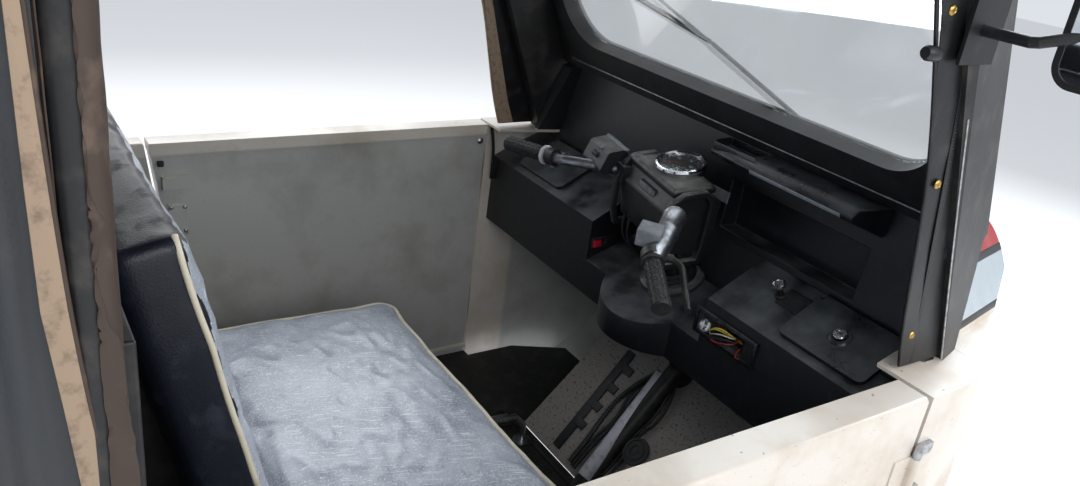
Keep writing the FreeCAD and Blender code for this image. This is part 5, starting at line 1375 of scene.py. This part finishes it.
# %% Foot space
toe_off = Vector((0, math.sqrt(0.5), math.sqrt(0.5)))
toe_rise = -0.450  # y + z everywhere on the toe board's face


def on_toe(x, y, lift=0.0):
    """A place on the toe board's face at that x and y, lifted square to it."""
    return Vector((x, y, toe_rise - y)) + toe_off * lift


strip_top, strip_foot = on_toe(0.155, -0.955), on_toe(0.135, -0.748)
strip_left, strip_right = Vector((0.012, 0, 0)), Vector((-0.014, 0, 0))
toe_strip = drawn([strip_top + strip_left, strip_top + strip_right, strip_foot + strip_right,
                   strip_foot + strip_left], toe_off * 0.005, 0.0015)
finished(toe_strip, "toe_board_strip", black_plastic)
toe_turn = (-math.radians(45), 0, 0)
for count, y in enumerate((-0.925, -0.885, -0.845, -0.805)):
    tab = slab(on_toe(0.124, y, 0.0035), (0.030, 0.022, 0.005), 0.0012, toe_turn)
    finished(tab, "toe_strip_tab_%d" % (count + 1), black_plastic)
tube_top, tube_foot = on_toe(0.022, -0.955, 0.030), on_toe(-0.004, -0.748, 0.028)
tube = turned_rod(tube_top, tube_foot, 0.0165, 0.002)
finished(tube, "column_side_tube", pale_tube)
for count, share in enumerate((0.18, 0.82)):
    at = tube_top.lerp(tube_foot, share)
    saddle = slab(at - toe_off * 0.0190, (0.046, 0.014, 0.020), 0.0015, toe_turn)
    finished(saddle, "tube_saddle_%d" % (count + 1), frame_black)
cables = ((0.048, 0.0045, 0.010), (0.058, 0.0038, 0.016), (-0.022, 0.0042, -0.010), (-0.034, 0.0036, -0.018))
for count, (x, radius, bow) in enumerate(cables):
    wire("floor_cable_%d" % (count + 1),
         [on_toe(x * 0.6, -0.955, 0.020), on_toe(x + bow, -0.905, 0.012), on_toe(x - bow * 0.6, -0.850, 0.008),
          on_toe(x + bow * 0.5, -0.800, 0.008), on_toe(x, -0.745, 0.008)], radius, black_wire, sides=8)
conduit = [on_toe(*spot) for spot in ((0.030, -0.955, 0.034), (0.076, -0.900, 0.020), (0.084, -0.850, 0.012),
                                      (0.070, -0.795, 0.012), (0.066, -0.748, 0.012))]
wire("conduit_core", conduit, 0.0055, black_wire, sides=12)
rib_at = [on_toe(*spot) for spot in ((0.030, -0.955, 0.034), (0.062, -0.916, 0.024), (0.079, -0.875, 0.0155),
                                     (0.078, -0.830, 0.0125), (0.071, -0.790, 0.012), (0.067, -0.752, 0.012))]
ribs = []
for start, end in zip(rib_at, rib_at[1:]):
    for k in range(9):
        spot = start.lerp(end, k / 9)
        rib = lathed(mm("5 -1.3, 7.2 -0.8, 7.2 0.8, 5 1.3"), spot, end - start, 12, closed=True)
        settle(rib)
        ribs.append(rib)
joined(ribs, "conduit_ribs", black_plastic)
mat_spots = [(0.330, -0.715), (-0.330, -0.715), (-0.330, -0.400), (0.330, -0.400)]
mat = drawn([(x, y, 0.2853) for x, y in mat_spots], (0, 0, 0.004), 0.0015)
sunk(mat, facing_up, 0.012, (0, 0, -0.0015))
finished(mat, "floor_mat", mat_rubber)
groove = slab((-0.300, -0.5575, 0.2884), (0.006, 0.280, 0.003), 0.0012, segments=1)
repeat(groove, 51, (0.012, 0, 0))
finished(groove, "floor_mat_ribs", mat_rubber)
pedal_foot = Vector((-0.091, toe_rise - 0.372, 0.372))
toe_up = Vector((0, -math.sqrt(0.5), math.sqrt(0.5)))
pad_centre = pedal_foot + toe_off * 0.0645 + toe_up * 0.018
pad = lathed(mm("0 0, 31.5 0, 32.5 2, 31.5 5.2, 26.5 5.2, 25.5 3.5, 20.5 3.5, 19.5 5.2, 13.5 5.2, 12.5 3.5, "
                "6.5 3.5, 5.5 5.2, 0 5.2"), pad_centre, toe_off, 40)
finished(pad, "brake_pedal_pad", grip_rubber)

# %% [markdown]
# The tyres are rubber with a rounded shoulder and grooved tread. A profile with the
# grooves in it is spun round each wheel's own axle, and five nuts hold each wheel.

# %% Tyres and wheel nuts
half_profile = mm("131.2 37.5, 148 49, 166 56.5, 183 58.5, 200 57, 215 51, 224 43, 230 36, 230 33, 232.5 30, "
                  "233.6 21.5, 227.5 20.5, 227.5 17.5, 234 16.5, 234.5 5, 228.5 4")
tyre_profile = half_profile + [(r, -w) for r, w in reversed(half_profile)]
front_spin = next(j for j in frame["record"]["behaviour"]["joints"] if j["name"] == "front_wheel_spin")
nut_circle, rim_face, nut_count = 0.046, 0.0212, 5
for label, axle in (("front", Vector(front_spin["axis"])), ("rear_right", Vector((1, 0, 0))),
                    ("rear_left", Vector((1, 0, 0)))):
    kind, _, tag = label.partition("_")
    node, body = label.replace(kind, kind + "_tyre"), label.replace(kind, kind + "_wheel")
    low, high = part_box(node)
    hub = (Vector(low) + Vector(high)) / 2
    tyre = lathed(tyre_profile, hub, axle, 72, closed=True)
    finished(tyre, "tyre_" + label, tyre_rubber, body, smooth=50)
    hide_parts(node)
    outward = -axle if tag == "right" else axle
    for step in range(nut_count):
        angle = math.radians(72 * step + 36)
        round_hub = axle.to_track_quat("Z", "Y") @ Vector((math.cos(angle), math.sin(angle), 0))
        nut = lathed(mm("0 0, 8.5 0, 8.5 6.5, 7 8.5, 4.5 8.5, 4.2 12, 0 12.5"),
                     hub + outward * rim_face + round_hub * nut_circle, outward, 6)
        finished(nut, "wheel_nut_%s_%d" % (label, step + 1), zinc, body, smooth=20)
    print("dressed", node)

# %% [markdown]
# A thin bright strip runs under the windscreen's rubber on the inside, and the far curtain has a tan band along
# its free edge, which is painted sunlight.

# %% Bright strip and far band
strip_line = [on_screen(x, -0.0045, -0.0362) for x in (-0.520, -0.26, 0.0, 0.26, 0.520)]
wire("screen_bright_strip", strip_line, 0.0022, zinc)


def band_place(u, v):
    z = 0.960 + 0.598 * v
    return Vector((0.6000 - 0.0006 * math.sin(v * 9), flap_spot(z, 0.02 + 0.36 * u), z))


band = placed_grid(3, 40, band_place)
# the tan band is painted sunlight on the far curtain's edge
cut_sheet(band, 0.0012, "far_curtain_band", sunlit_tan_paint, 60)

import json
